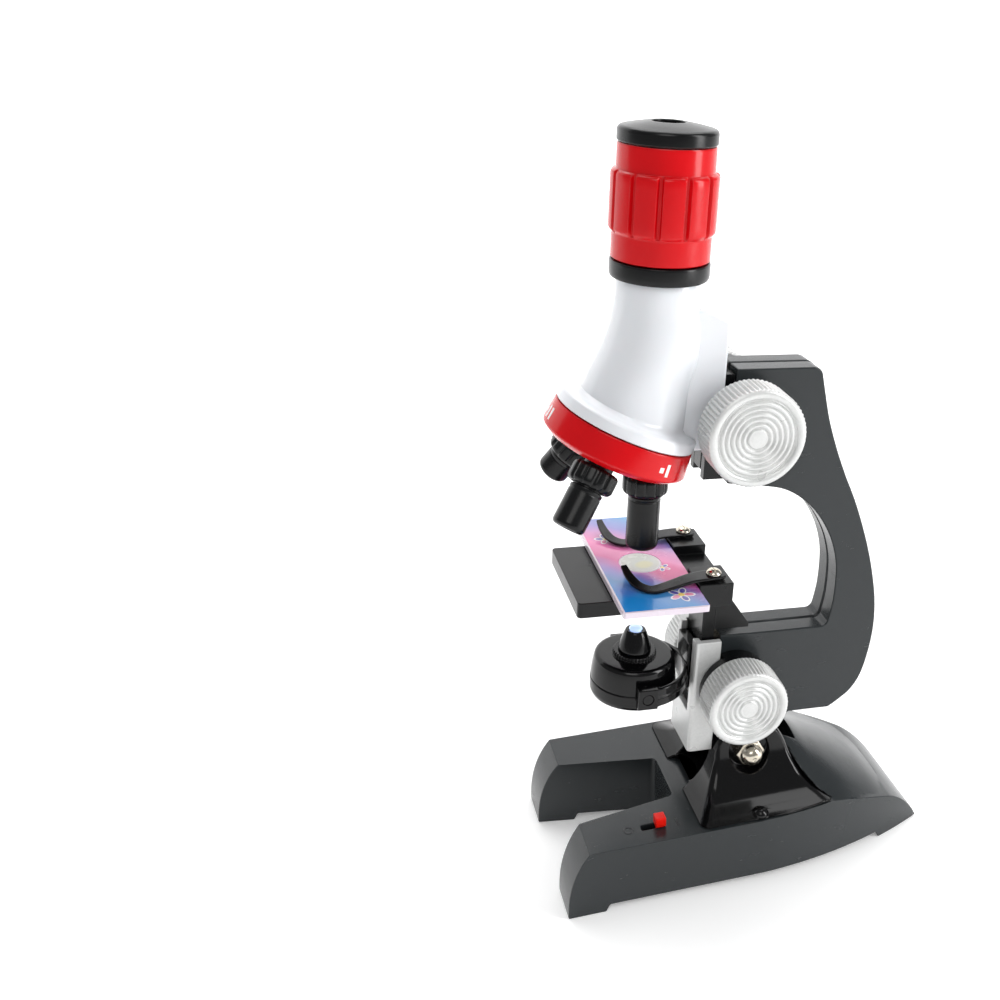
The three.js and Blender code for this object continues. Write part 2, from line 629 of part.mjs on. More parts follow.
const buildArm = () => {
  node('arm_shell_near', buildArmShell(-1), 'charcoal', arm);
  node('arm_shell_far', buildArmShell(1), 'charcoal', arm);
  armScrews.forEach((screw) => node(screw.name, buildArmScrew(screw), 'steel', arm));
  node('stage_bush_near', buildStageBush(-1), 'satinBlack', arm);
  node('stage_bush_far', buildStageBush(1), 'satinBlack', arm);
  node('focus_guide', buildFocusGuide(), 'satinBlack', arm);
  node('stage_guide', buildStageGuide(), 'silver', arm);
  node('lamp_yoke', buildLampYoke(), 'glossBlack', arm);
  node('focus_shaft', buildPinionShaft(focusKnob, focusTeeth, focusPinionRadius), 'steel', arm);
  node('focus_knob_near', buildKnob(focusKnob, -1), 'silver', arm);
  node('focus_knob_far', buildKnob(focusKnob, 1), 'silver', arm);
  node('stage_shaft', buildPinionShaft(stageKnob, stageTeeth, stagePinionRadius), 'steel', arm);
  node('stage_knob_near', buildKnob(stageKnob, -1), 'silver', arm);
  node('stage_knob_far', buildKnob(stageKnob, 1), 'silver', arm);
};

// ---------------------------------------------------------------- head (arm frame)

// A point on the nosepiece axis, distance above its top face.
const onNoseAxis = (distance) => ({
  x: nose.x + Math.sin(nose.tilt) * distance,
  z: nose.z + Math.cos(nose.tilt) * distance,
});

// A rod on the nosepiece axis between two distances above the disc's top face.
const noseRod = (radius, bottom, top, count = 16) => loft([bottom, top].map((distance) => (
  circle({ ...onNoseAxis(distance), radius, lean: nose.tilt, count }))));

const tubeRing = { bottom: 144.5, top: 149.3, radius: 13.3 };

// The head flares from the round tube above to the leaning flange over the nosepiece.
const headCone = (shrink, bottom, top) => loft([
  circle({ ...onNoseAxis(bottom), radius: 20.2 - shrink, lean: nose.tilt }),
  circle({ ...onNoseAxis(3.4), radius: 20 - shrink, lean: nose.tilt }),
  circle({ ...onNoseAxis(4.2), radius: 19.2 - shrink, lean: nose.tilt }),
  circle({ ...onNoseAxis(5), radius: 15.6 - shrink, lean: nose.tilt }),
  circle({ x: -38.4, z: 117.5, radius: 14.0 - shrink, lean: nose.tilt / 2 }),
  circle({ x: -36.2, z: 124.5, radius: 13.5 - shrink, lean: nose.tilt / 5 }),
  circle({ x: -35.1, z: 131, radius: 12.8 - shrink }),
  circle({ x: optical.x, z: top, radius: 11.2 - shrink }),
]);

const buildHeadShell = () => {
  const outside = headCone(0, 0.4, tubeRing.bottom - gap);
  const { front, back, halfWidth, bottom, top, backTop } = column;
  const columnShape = shapeOf([
    [front - 4, bottom + 6], [front + 1, bottom], [back, bottom], [back, backTop], [back - 7, top],
    [front - 4, top],
  ]);
  const post = sidePrism(columnShape, -halfWidth, halfWidth);
  const channel = box(-20.4, back + 1, -6, 6, bottom - 1, 132.8);
  const hollow = headCone(1.8, -1, tubeRing.bottom + 1);
  const inside = headCone(0.8, 0.4, 140);
  const pinBoss = noseRod(3.4, 0.4, 14).intersect(inside);
  const web = noseRod(15.5, 5, 7, 24).intersect(inside);
  const lightPath = disc(4.6, 90, 130, { x: optical.x, segments: 16 });
  const shell = cut(join(outside, post), hollow, channel);
  return cut(join(shell, web, pinBoss), lightPath, noseRod(1.5, -1, 9));
};

const buildFocusRack = () => {
  const pitchLine = focusKnob.x - focusPinionRadius;
  const { teeth, bottom, top, back } = buildRackTeeth(pitchLine, focusKnob.z, 8, 11, 2.6);
  return join(teeth, box(-20.1, back + 0.5, -2.6, 2.6, bottom, top));
};

const buildTubeRing = () => ring(tubeRing.radius, 9.6, tubeRing.bottom, tubeRing.top, { x: optical.x });

const buildNosepiecePin = () => {
  const head = loft([[-10.9, 2.6], [-9.6, 3.4], [-9.1, 3.4]].map(([distance, radius]) => (
    circle({ ...onNoseAxis(distance), radius, lean: nose.tilt, count: 20 }))));
  return join(head, noseRod(1.35, -9.3, 8.4));
};

const buildHead = () => {
  node('head_shell', buildHeadShell(), 'white', arm);
  node('focus_rack', buildFocusRack(), 'satinBlack', arm);
  node('tube_ring', buildTubeRing(), 'satinBlack', arm);
  node('nosepiece_pin', buildNosepiecePin(), 'steel', arm);
};

// ---------------------------------------------------------------- eyepiece (arm frame)

const grip = { bottom: 156.4, top: 172, radius: 14.05, flutes: 12 };

const buildEyepieceBarrel = () => {
  const bottom = tubeRing.top + gap;
  const top = 178.4;
  const body = turned([
    [9.6, bottom], [13.1, bottom], [13.1, grip.bottom], [13.2, grip.top], [12.8, grip.top], [12.7, top],
    [9.6, top],
  ], { x: optical.x, closed: true });
  const panelAngle = (2 * Math.PI) / grip.flutes;
  const panels = Array.from({ length: grip.flutes }, (_, k) => {
    const shape = new THREE.Shape();
    const middle = (k + 0.5) * panelAngle;
    shape.absarc(0, 0, grip.radius, middle - panelAngle * 0.42, middle + panelAngle * 0.42, false);
    shape.absarc(0, 0, 12.2, middle + panelAngle * 0.46, middle - panelAngle * 0.46, true);
    return planPrism(shape, grip.bottom, grip.top, 3).translate([optical.x, 0, 0]);
  });
  return join(body, ...panels);
};

// Shallow dome that rises from its rim to the eye hole.
const buildEyepieceCap = () => turned([
  [4.1, 178.7], [12.9, 178.7], [12.9, 181.7], [12.4, 182.5], [8.6, 183.2], [4.6, eyepieceTop], [4.1, 183.5],
], { x: optical.x, closed: true });

// Lens with a curved lower face, bottom and top at the rim.
const buildTubeLens = (bottom, top) => turned(
  [[0, bottom - 1.2], [9.2, bottom], [9.2, top], [0, top]],
  { x: optical.x, segments: 16 },
);

const buildEyepiece = () => {
  node('eyepiece_barrel', buildEyepieceBarrel(), 'red', arm);
  node('eyepiece_cap', buildEyepieceCap(), 'satinBlack', arm);
  node('eyepiece_lens', buildTubeLens(176.4, 178.3), 'glass', arm);
  node('field_lens', buildTubeLens(152.2, 153.8), 'glass', arm);
};

// ---------------------------------------------------------------- nosepiece (its own frame)

// Origin at the centre of the disc's top face, +Z up along the leaning nosepiece axis.
const nosepiece = new THREE.Group();
nosepiece.position.set(nose.x, 0, nose.z);
nosepiece.rotation.y = nose.tilt;
arm.add(nosepiece);

const objectives = ['long', 'medium', 'short'];
const discDepth = 8.8;

// Places a solid built upright below an apex at the origin onto objective number k.
const onObjective = (manifold, k) => manifold
  .rotate([0, THREE.MathUtils.radToDeg(-nose.tilt), 0])
  .rotate([0, 0, -120 * k])
  .translate([0, 0, noseApex]);

const buildNosepieceDisc = () => {
  const body = turned([
    [0, -discDepth], [18.6, -discDepth], [21.1, -7], [nose.radius, 0], [19, 0], [18, -2], [0, -2],
  ], { segments: 24 });
  const holes = objectives.map((_, k) => onObjective(disc(4.4, -60, 0, { segments: 16 }), k));
  return cut(body, disc(1.6, -20, 5, { segments: 16 }), ...holes);
};

const buildCollar = () => turned([
  [4.95, -38.8], [6, -38.8], [6.5, -38], [6.5, -33.6], [5.8, -33.2], [4.95, -33.2],
], { closed: true, segments: 18 });

const buildBarrel = (tip) => turned([
  [2.9, -tip], [4.1, -tip], [4.65, -tip + 0.8], [4.65, -39.6], [4.1, -39.2], [4.1, -25], [2.9, -25],
], { closed: true, segments: 16 });

const buildObjectiveLens = (tip) => turned(
  [[0, -tip + 0.4], [2.6, -tip + 0.8], [2.6, -tip + 2.4], [0, -tip + 2.4]],
  { segments: 12 },
);

const buildNosepiece = () => {
  node('nosepiece_disc', buildNosepieceDisc(), 'red', nosepiece);
  objectives.forEach((size, k) => {
    const tip = objectiveTips[size];
    node(`objective_collar_${size}`, onObjective(buildCollar(), k), 'satinBlack', nosepiece);
    node(`objective_barrel_${size}`, onObjective(buildBarrel(tip), k), 'satinBlack', nosepiece);
    node(`objective_lens_${size}`, onObjective(buildObjectiveLens(tip), k), 'glass', nosepiece);
  });
};

// ---------------------------------------------------------------- stage (arm frame)

const clipScrew = { x: -17.6, y: 14 };
const blockTop = 61.9;

// Plate with two raised clip blocks, a slider that runs in the guide, and two bracing gussets.
const buildStagePlate = () => {
  const { front, back, halfWidth, top, thickness } = stage;
  const onBothSides = (make) => [make(-1), make(1)];
  const strip = (x0, x1, inner, outer, z0, z1) => onBothSides((side) => (
    box(x0, x1, Math.min(side * inner, side * outer), Math.max(side * inner, side * outer), z0, z1)));
  const plate = box(front, back, -halfWidth, halfWidth, top - thickness, top);
  const blocks = strip(-22.8, back, 6.6, 18, top - 4, blockTop);
  const slider = box(-16.5, -14.6, -6.2, 6.2, 14, top - 2);
  const cheeks = strip(-16.5, back, 3.4, 6.2, 14, top - 2);
  const gusset = shapeOf([[-13, 40], [-1.8, 40], [-1.8, 41.2], [-9.6, 52], [back, 56], [-13, 56]]);
  const gussets = [sidePrism(gusset, -6, -3.6), sidePrism(gusset, 3.6, 6)];
  const aperture = disc(5.5, 0, 80, { x: optical.x, segments: 16 });
  const screwHoles = onBothSides((side) => (
    disc(1.25, top - 3, 80, { x: clipScrew.x, y: side * clipScrew.y, segments: 12 })));
  return cut(join(plate, ...blocks, slider, ...cheeks, ...gussets), aperture, ...screwHoles);
};

const buildStageRack = () => {
  const pitchLine = stageKnob.x - stagePinionRadius;
  const { teeth, bottom, top, back } = buildRackTeeth(pitchLine, stageKnob.z, 4, 8, 2.8);
  return join(teeth, box(-14.3, back + 0.5, -2.8, 2.8, bottom, top));
};

const buildClipScrew = (side) => join(
  disc(2.2, 63.4, 64.6, { x: clipScrew.x, y: side * clipScrew.y, segments: 12 }),
  disc(0.95, 57, 63.5, { x: clipScrew.x, y: side * clipScrew.y, segments: 12 }),
);

// Spring clip: a strip from its screw, over the slide's edge, with a curled-up tip.
const clipPath = [
  { at: [3, 0, 62.4], halfWidth: 2.6 },
  { at: [-3.5, 0, 62.4], halfWidth: 2.7 },
  { at: [-8, -0.5, 62.3], halfWidth: 2.4 },
  { at: [-14, -1.6, 61.7], halfWidth: 2.1 },
  { at: [-19, -2.2, 61.4], halfWidth: 1.9 },
  { at: [-22.2, 0.2, 61.8], halfWidth: 1.6 },
  { at: [-23.6, 4, 62.8], halfWidth: 1.3 },
  { at: [-24.2, 7.6, 64.4], halfWidth: 0.9 },
];

const buildClip = (bank, swing) => {
  const points = clipPath.map(({ at }) => new THREE.Vector3(...at));
  const rings = points.map((point, k) => {
    const ahead = points[Math.min(k + 1, points.length - 1)].clone().sub(points[Math.max(k - 1, 0)]);
    const side = new THREE.Vector3(-ahead.y, ahead.x, 0).setLength(clipPath[k].halfWidth);
    const rise = new THREE.Vector3(0, 0, 0.8);
    const [left, right] = [point.clone().sub(side), point.clone().add(side)];
    return [left, left.clone().add(rise), right.clone().add(rise), right];
  });
  return cut(loft(rings), disc(1.25, 50, 80, { segments: 16 }))
    .rotate([0, 0, swing])
    .translate([clipScrew.x, bank * clipScrew.y, 0]);
};

const slide = { x0: -47.4, x1: -23.1, near: -28, far: 30.9, thickness: 1.9 };

const buildSpecimenSlide = () => {
  const z0 = stage.top + gap;
  return box(slide.x0, slide.x1, slide.near, slide.far, z0, z0 + slide.thickness - 0.1);
};

const buildStage = () => {
  node('stage_plate', buildStagePlate(), 'satinBlack', arm);
  node('stage_rack', buildStageRack(), 'steel', arm);
  node('clip_screw_near', buildClipScrew(-1), 'steel', arm);
  node('clip_screw_far', buildClipScrew(1), 'steel', arm);
  node('stage_clip_near', buildClip(-1, 5), 'satinBlack', arm);
  node('stage_clip_far', buildClip(1, 0), 'satinBlack', arm);
  node('specimen_slide', buildSpecimenSlide(), 'card', arm);
};

// ---------------------------------------------------------------- lamp (arm frame)

const buildLampHousing = () => {
  const z = lampPivot;
  const drum = turned([
    [0, z - 4.6], [10.6, z - 4.6], [10.6, z - 6.2], [12.3, z - 6.2], [lamp.drum, z - 4.5],
    [lamp.drum, z - 1.2], [12.4, z + 3], [11.3, z + 6.4], [6.5, z + 6.4], [6.5, z + 7.6], [0, z + 7.6],
  ], { x: optical.x, segments: 24 });
  const trunnions = discY(1.5, -16.4, 16.4, { x: optical.x, z, segments: 12 });
  const ledWell = disc(1.9, z + 1, z + 20, { x: optical.x, segments: 14 });
  return cut(join(drum, trunnions), ledWell);
};

const aboveLampPivot = (profile) => profile.map(([r, h]) => [r, lampPivot + h]);

const buildLampCone = () => turned(
  aboveLampPivot([[2.1, 7.9], [5.4, 7.9], [4.6, 10.5], [2.9, 14], [2.1, 14.2]]),
  { x: optical.x, closed: true, segments: 18 },
);

const buildLampLens = () => turned(
  aboveLampPivot([[0, 5], [1.7, 5], [1.7, 13.6], [1.3, 14.5], [0.6, 15.1], [0, 15.2]]),
  { x: optical.x, segments: 14 },
);

const buildLamp = () => {
  node('lamp_housing', buildLampHousing(), 'glossBlack', arm);
  node('lamp_cone', buildLampCone(), 'glossBlack', arm);
  node('lamp_lens', buildLampLens(), 'lampGlass', arm);
  node('lamp_mirror', disc(10.2, lampPivot - 5.9, lampPivot - 4.9, { x: optical.x }), 'mirror', arm);
};

buildBase();
buildArm();
buildHead();
buildEyepiece();
buildNosepiece();
buildStage();
buildLamp();

export default microscope;
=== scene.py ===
"""Kids microscope: the looks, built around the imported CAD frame.

Shapes are modelled in millimetres in three local frames taken from the joints: the world, the arm
(origin on the tilt hinge, Z along the optical axis) and the nosepiece (origin at the centre of the
disc's top face, Z up its leaning axis). show() turns them into metres in the row frame.
"""

import json
import math

import bmesh
import bpy
from mathutils import Matrix, Vector

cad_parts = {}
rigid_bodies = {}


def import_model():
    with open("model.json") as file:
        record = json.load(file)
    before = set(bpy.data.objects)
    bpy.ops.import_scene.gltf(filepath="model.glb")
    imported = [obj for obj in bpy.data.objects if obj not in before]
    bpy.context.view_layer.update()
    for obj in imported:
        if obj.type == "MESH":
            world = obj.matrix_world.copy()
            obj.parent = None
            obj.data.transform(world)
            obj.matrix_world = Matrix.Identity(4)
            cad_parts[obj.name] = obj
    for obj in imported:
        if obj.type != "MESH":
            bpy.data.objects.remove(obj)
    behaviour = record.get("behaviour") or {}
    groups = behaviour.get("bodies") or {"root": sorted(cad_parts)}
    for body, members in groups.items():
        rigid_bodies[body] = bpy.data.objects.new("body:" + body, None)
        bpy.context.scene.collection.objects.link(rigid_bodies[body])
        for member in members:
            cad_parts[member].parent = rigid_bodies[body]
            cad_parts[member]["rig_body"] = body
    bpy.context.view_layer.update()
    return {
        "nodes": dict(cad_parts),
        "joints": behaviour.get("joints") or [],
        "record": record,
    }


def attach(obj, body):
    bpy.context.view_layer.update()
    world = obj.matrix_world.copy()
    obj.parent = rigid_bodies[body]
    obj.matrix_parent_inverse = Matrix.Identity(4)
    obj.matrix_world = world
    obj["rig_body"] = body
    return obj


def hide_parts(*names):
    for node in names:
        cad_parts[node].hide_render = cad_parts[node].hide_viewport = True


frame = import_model()

# ---- frames and driving dimensions

MM = 0.001
TAU = 2 * math.pi
shift = Matrix.Translation
joints = {joint["name"]: joint for joint in frame["joints"]}
slot_of = {part["node"]: part["material_slot"] for part in frame["record"]["subparts"]}


def leaning(joint_name, direction):
    """Frame in millimetres whose origin is the joint and whose Z is the direction."""
    lean = math.atan2(direction[0], direction[2])
    origin = shift(joints[joint_name]["pos_m"])
    return origin @ Matrix.Rotation(lean, 4, "Y") @ Matrix.Scale(MM, 4)


WORLD = Matrix.Scale(MM, 4)
ARM = leaning("arm_tilt", joints["focus_slide"]["axis"])
NOSE = leaning("nosepiece_turn", joints["nosepiece_turn"]["axis"])


def in_arm(joint_name):
    return ARM.inverted() @ Vector(joints[joint_name]["pos_m"])


hinge_height = joints["arm_tilt"]["pos_m"][2] / MM
optical_x = in_arm("lamp_flip").x
lamp_pivot = in_arm("lamp_flip").z
focus_axis = in_arm("focus_turn")
stage_axis = in_arm("stage_turn")
nose_centre = in_arm("nosepiece_turn")
nose_lean = (ARM.inverted() @ NOSE).to_euler().y
nose_apex = (optical_x - nose_centre.x) / math.sin(nose_lean)
clip_screw = in_arm("clip_far_swing")

base = {"front": -61.1, "back": 59.1, "half": 28.7, "top": 22.3, "crotch": -23.5, "arch": 2.4}
arm_half = 6.35
cheek_inner = arm_half + 0.6
gap = 0.3
guide = {"front": -18.8, "back": -10.9, "half": 8.8, "bottom": -0.6, "top": 37.4}
stage = {"front": -57.2, "back": -12.7, "half": 17.35, "top": 59.0, "thick": 4.6}
slide = {"x0": -47.4, "x1": -23.1, "near": -28.0, "far": 30.9, "z0": 59.3, "z1": 61.1}
switch = {"x": -31.3, "y": -21.6, "size": 3.2, "travel": 4.2}

# ---- outlines


def quadratic(start, control, end, steps=14):
    """Points of a quadratic curve after its start."""
    points = []
    for k in range(1, steps + 1):
        t = k / steps
        weights = ((1 - t) ** 2, 2 * t * (1 - t), t * t)
        points.append(tuple(sum(w * p[i] for w, p in zip(weights, (start, control, end))) for i in (0, 1)))
    return points


def path(start, *stretches):
    """Outline from start. A stretch is the next point, or (control, end) for a curve."""
    points = [start]
    for stretch in stretches:
        if isinstance(stretch[0], tuple):
            points += quadratic(points[-1], *stretch)
        else:
            points.append(stretch)
    return points


def through(points, steps=6):
    """Smooth open curve through points of any dimension, given as tuples."""
    padded = [points[0], *points, points[-1]]
    curve = []
    for a, b, c, d in zip(padded, padded[1:], padded[2:], padded[3:]):
        for k in range(steps):
            t = k / steps
            curve.append(tuple(
                0.5 * (2 * q + (r - p) * t + (2 * p - 5 * q + 4 * r - s) * t ** 2
                       + (3 * q - p - 3 * r + s) * t ** 3)
                for p, q, r, s in zip(a, b, c, d)))
    curve.append(tuple(points[-1]))
    return curve


def arc(cx, cz, radius, start, end, steps=24):
    angles = [math.radians(start + (end - start) * k / steps) for k in range(steps + 1)]
    return [(cx + radius * math.cos(a), cz + radius * math.sin(a)) for a in angles]


def rounded(points, radius, steps=4, closed=True):
    """The outline with each corner replaced by a short curve."""
    result = []
    count = len(points)
    for k, corner in enumerate(points):
        if not closed and k in (0, count - 1):
            result.append(corner)
            continue
        here = Vector(corner)
        ends = []
        for other in (points[k - 1], points[(k + 1) % count]):
            toward = Vector(other) - here
            ends.append(tuple(here + toward * min(0.45, radius / max(toward.length, 1e-6))))
        result.append(ends[0])
        result += quadratic(ends[0], corner, ends[1], steps)
    return result


def inset(points, distance):
    """The closed outline moved inwards; the outline runs counter-clockwise."""
    moved = []
    for k, point in enumerate(points):
        before, after = Vector(points[k - 1]), Vector(points[(k + 1) % len(points)])
        here = Vector(point)
        normals = [Vector((-(b - a).y, (b - a).x)).normalized() for a, b in ((before, here), (here, after))]
        middle = (normals[0] + normals[1]).normalized()
        moved.append(tuple(here + middle * distance / max(0.5, middle.dot(normals[0]))))
    return moved


# ---- solids


def blank(vertices, faces):
    """A new object from points and faces, with its faces pointing out."""
    mesh = bpy.data.meshes.new("blank")
    mesh.from_pydata([tuple(v) for v in vertices], [], faces)
    made = bpy.data.objects.new("blank", mesh)
    bpy.context.scene.collection.objects.link(made)
    work = bmesh.new()
    work.from_mesh(mesh)
    bmesh.ops.recalc_face_normals(work, faces=work.faces)
    work.to_mesh(mesh)
    work.free()
    return made


def skin(rings, closed=False):
    """Surface over rings of points, capped at both ends, or joined last to first if closed."""
    count = len(rings[0])
    vertices = [point for ring in rings for point in ring]
    faces = []
    for r in range(len(rings) if closed else len(rings) - 1):
        low = r * count
        high = ((r + 1) % len(rings)) * count
        for k in range(count):
            after = (k + 1) % count
            faces.append((low + k, low + after, high + after, high + k))
    if not closed:
        last = (len(rings) - 1) * count
        faces.append(tuple(reversed(range(count))))
        faces.append(tuple(range(last, last + count)))
    return blank(vertices, faces)


def turned(profile, segments=96, relief=None, closed=False, x=0.0, y=0.0, z=0.0):
    """Profile of (radius, height above z) turned about Z. relief(angle, radius, height) changes the radius.

    A point on the axis isn't used: the ring next to it is closed flat.
    """
    rings = []
    for radius, height in profile:
        if radius == 0:
            continue
        ring = []
        for k in range(segments):
            angle = TAU * k / segments
            reach = relief(angle, radius, height) if relief else radius
            ring.append((x + reach * math.cos(angle), y + reach * math.sin(angle), z + height))
        rings.append(ring)
    return skin(rings, closed)


def plan_prism(outline, low, high):
    return skin([[(x, y, z) for x, y in outline] for z in (low, high)])


def side_prism(outline, low, high):
    return skin([[(x, y, z) for x, z in outline] for y in (low, high)])


def box(x0, x1, y0, y1, z0, z1):
    return plan_prism([(x0, y0), (x1, y0), (x1, y1), (x0, y1)], z0, z1)


def rod(radius, low, high, x=0.0, y=0.0, segments=48):
    return turned([(radius, low), (radius, high)], segments, x=x, y=y)


def rod_y(radius, low, high, x=0.0, z=0.0, segments=48):
    ring = arc(x, z, radius, 0, 360 - 360 / segments, segments - 1)
    return side_prism(ring, low, high)


def circle(x, z, radius, lean=0.0, count=96):
    """Ring of points whose plane leans forward about Y."""
    ring = []
    for k in range(count):
        angle = TAU * k / count
        along = radius * math.cos(angle)
        ring.append((x + along * math.cos(lean), radius * math.sin(angle), z - along * math.sin(lean)))
    return ring


def rounded_section(x0, x1, half, corner, z, steps=8):
    """Ring of points: an upright rounded rectangle at height z."""
    centres = [(x1 - corner, half - corner), (x0 + corner, half - corner),
               (x0 + corner, corner - half), (x1 - corner, corner - half)]
    ring = []
    for quarter, (cx, cy) in enumerate(centres):
        for k in range(steps + 1):
            angle = (quarter + k / steps) * math.pi / 2
            ring.append((cx + corner * math.cos(angle), cy + corner * math.sin(angle), z))
    return ring


def bake(made):
    """Applies the object's modifiers to its mesh."""
    evaluated = made.evaluated_get(bpy.context.evaluated_depsgraph_get())
    mesh = bpy.data.meshes.new_from_object(evaluated)
    made.modifiers.clear()
    made.data = mesh
    return made


def combine(first, others, operation):
    for other in others:
        modifier = first.modifiers.new(operation, "BOOLEAN")
        modifier.operation = operation
        modifier.object = other
        modifier.solver = "EXACT"
    bake(first)
    for other in others:
        bpy.data.objects.remove(other)
    return first


def join(first, *others):
    return combine(first, others, "UNION")


def cut(first, *others):
    return combine(first, others, "DIFFERENCE")


def common(first, *others):
    return combine(first, others, "INTERSECT")


def moved(made, *matrices):
    for matrix in matrices:
        made.data.transform(matrix)
    return made


def lying(side):
    """Rotation that lays +Z along +Y for side 1, or along -Y for side -1."""
    return Matrix.Rotation(-side * math.pi / 2, 4, "X")


def merge(first, *others):
    """Several separate solids in one object."""
    work = bmesh.new()
    for made in (first, *others):
        work.from_mesh(made.data)
    work.to_mesh(first.data)
    work.free()
    for made in others:
        bpy.data.objects.remove(made)
    return first


def soften(made, width, segments=2, angle=32):
    """Rounds the edges sharper than the angle."""
    work = bmesh.new()
    work.from_mesh(made.data)
    bmesh.ops.remove_doubles(work, verts=work.verts, dist=0.01)
    bmesh.ops.dissolve_degenerate(work, dist=0.01, edges=work.edges)
    work.to_mesh(made.data)
    work.free()
    modifier = made.modifiers.new("soften", "BEVEL")
    modifier.width = width
    modifier.segments = segments
    modifier.limit_method = "ANGLE"
    modifier.angle_limit = math.radians(angle)
    modifier.use_clamp_overlap = False
    modifier.miter_outer = "MITER_ARC"
    return bake(made)


def show(made, name, place, like, stands_for=(), look=None, sharp=38):
    """Puts a finished solid in the row frame as a piece that goes with the CAD node like."""
    made.data.transform(place)
    made.name = name
    made.data.name = name
    made.data.shade_smooth()
    made.data.set_sharp_from_angle(angle=math.radians(sharp))
    modifier = made.modifiers.new("even_normals", "WEIGHTED_NORMAL")
    modifier.keep_sharp = True
    made.data.materials.clear()
    made.data.materials.append(look or looks[slot_of[like]])
    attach(made, frame["nodes"][like]["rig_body"])
    if stands_for:
        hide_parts(*stands_for)
    return made


def stand_in(made, node, place=ARM, look=None, sharp=38):
    """Shows a finished solid in place of the CAD node of that name."""
    return show(made, node + "_look", place, node, [node], look, sharp)


# ---- material helpers


def srgb(*channels):
    """Linear colour from screen values of 0 to 255."""
    scaled = [c / 255 for c in channels]
    return tuple(c / 12.92 if c < 0.04045 else ((c + 0.055) / 1.055) ** 2.4 for c in scaled) + (1.0,)


def scaled_colour(colour, factor):
    return tuple(min(1.0, c * factor) for c in colour[:3]) + (1.0,)


def feed(tree, socket, value):
    """Links the socket to another node's output, or sets its value."""
    if isinstance(value, bpy.types.NodeSocket):
        tree.links.new(value, socket)
    else:
        socket.default_value = value


def add(tree, kind, inputs, **settings):
    """A node with its inputs set: each is a value, or another node's output to link."""
    node = tree.nodes.new("ShaderNode" + kind)
    for key, value in settings.items():
        setattr(node, key, value)
    for key, value in inputs.items():
        feed(tree, node.inputs[key], value)
    return node


def mix(tree, share, first, second):
    return add(tree, "Mix", {0: share, 6: first, 7: second}, data_type="RGBA").outputs[2]


def math_node(tree, operation, *values):
    return add(tree, "Math", dict(enumerate(values)), operation=operation).outputs[0]


def remap(tree, value, low, high, new_low, new_high):
    inputs = {"Value": value, "From Min": low, "From Max": high, "To Min": new_low, "To Max": new_high}
    return add(tree, "MapRange", inputs).outputs["Result"]


def noise(tree, place, size, detail=2.0, stretch=None):
    """Noise whose features are about size millimetres across."""
    if stretch:
        place = add(tree, "Mapping", {"Vector": place, "Scale": stretch}).outputs[0]
    inputs = {"Vector": place, "Scale": 1 / (size * MM), "Detail": detail}
    return add(tree, "TexNoise", inputs).outputs["Fac"]


def new_look(name="look"):
    material = bpy.data.materials.new(name)
    material.use_nodes = True
    tree = material.node_tree
    place = add(tree, "TexCoord", {}).outputs["Object"]
    return material, tree, tree.nodes["Principled BSDF"], place


def connect(tree, surface, **inputs):
    """Sets the surface's inputs, named with underscores for spaces."""
    for key, value in inputs.items():
        feed(tree, surface.inputs[key.replace("_", " ")], value)


def uneven(tree, place, *layers):
    """Bump from (size, height) layers in millimetres, over slightly rounded edges."""
    normal = add(tree, "Bevel", {"Radius": 0.12 * MM}, samples=4).outputs[0]
    for size, height in layers:
        inputs = {"Height": noise(tree, place, size), "Distance": height * MM, "Normal": normal}
        normal = add(tree, "Bump", inputs).outputs[0]
    return normal


def worn(tree, colour, place, edge_colour, amount):
    """Lightens the edges, where hands and boxes rub, in patches."""
    rounded_normal = add(tree, "Bevel", {"Radius": 0.3 * MM}, samples=4).outputs[0]
    normal = add(tree, "NewGeometry", {}).outputs["Normal"]
    flatness = add(tree, "VectorMath", {0: rounded_normal, 1: normal}, operation="DOT_PRODUCT")
    rubbed = remap(tree, flatness.outputs["Value"], 0.85, 0.99, amount, 0.0)
    patches = remap(tree, noise(tree, place, 5.0), 0.35, 0.65, 0.3, 1.0)
    return mix(tree, math_node(tree, "MULTIPLY", rubbed, patches), colour, edge_colour)


def plastic(colour, roughness, grain, coat=0.0, wear=0.25, variation=0.02, glow=0.0, shine=0.5):
    """Moulded plastic: faint flow clouds, a grain of (size, height), rubbed edges, fine smears."""
    material, tree, surface, place = new_look()
    clouds = remap(tree, noise(tree, place, 11.0, 3.0), 0.3, 0.7, 0.0, 1.0)
    low, high = scaled_colour(colour, 1 - variation), scaled_colour(colour, 1 + variation)
    body = mix(tree, clouds, low, high)
    pale = tuple(c + (1 - c) * 0.3 for c in colour[:3]) + (1.0,)
    body = worn(tree, body, place, pale, wear)
    smears = noise(tree, place, 7.0, 4.0, (1.0, 1.0, 2.5))
    dust = noise(tree, place, 0.35, 2.0)
    rough = remap(tree, smears, 0.3, 0.7, roughness * 0.92, roughness * 1.1)
    rough = math_node(tree, "ADD", rough, remap(tree, dust, 0.62, 0.75, 0.0, 0.012))
    connect(tree, surface, Base_Color=body, Roughness=rough, Coat_Weight=coat, Coat_Roughness=0.06,
            Specular_IOR_Level=shine, Normal=uneven(tree, place, grain, (9.0, 0.005)))
    if glow:
        connect(tree, surface, Subsurface_Weight=glow, Subsurface_Scale=0.002,
                Subsurface_Radius=(1.0, 0.25, 0.2))
    return material


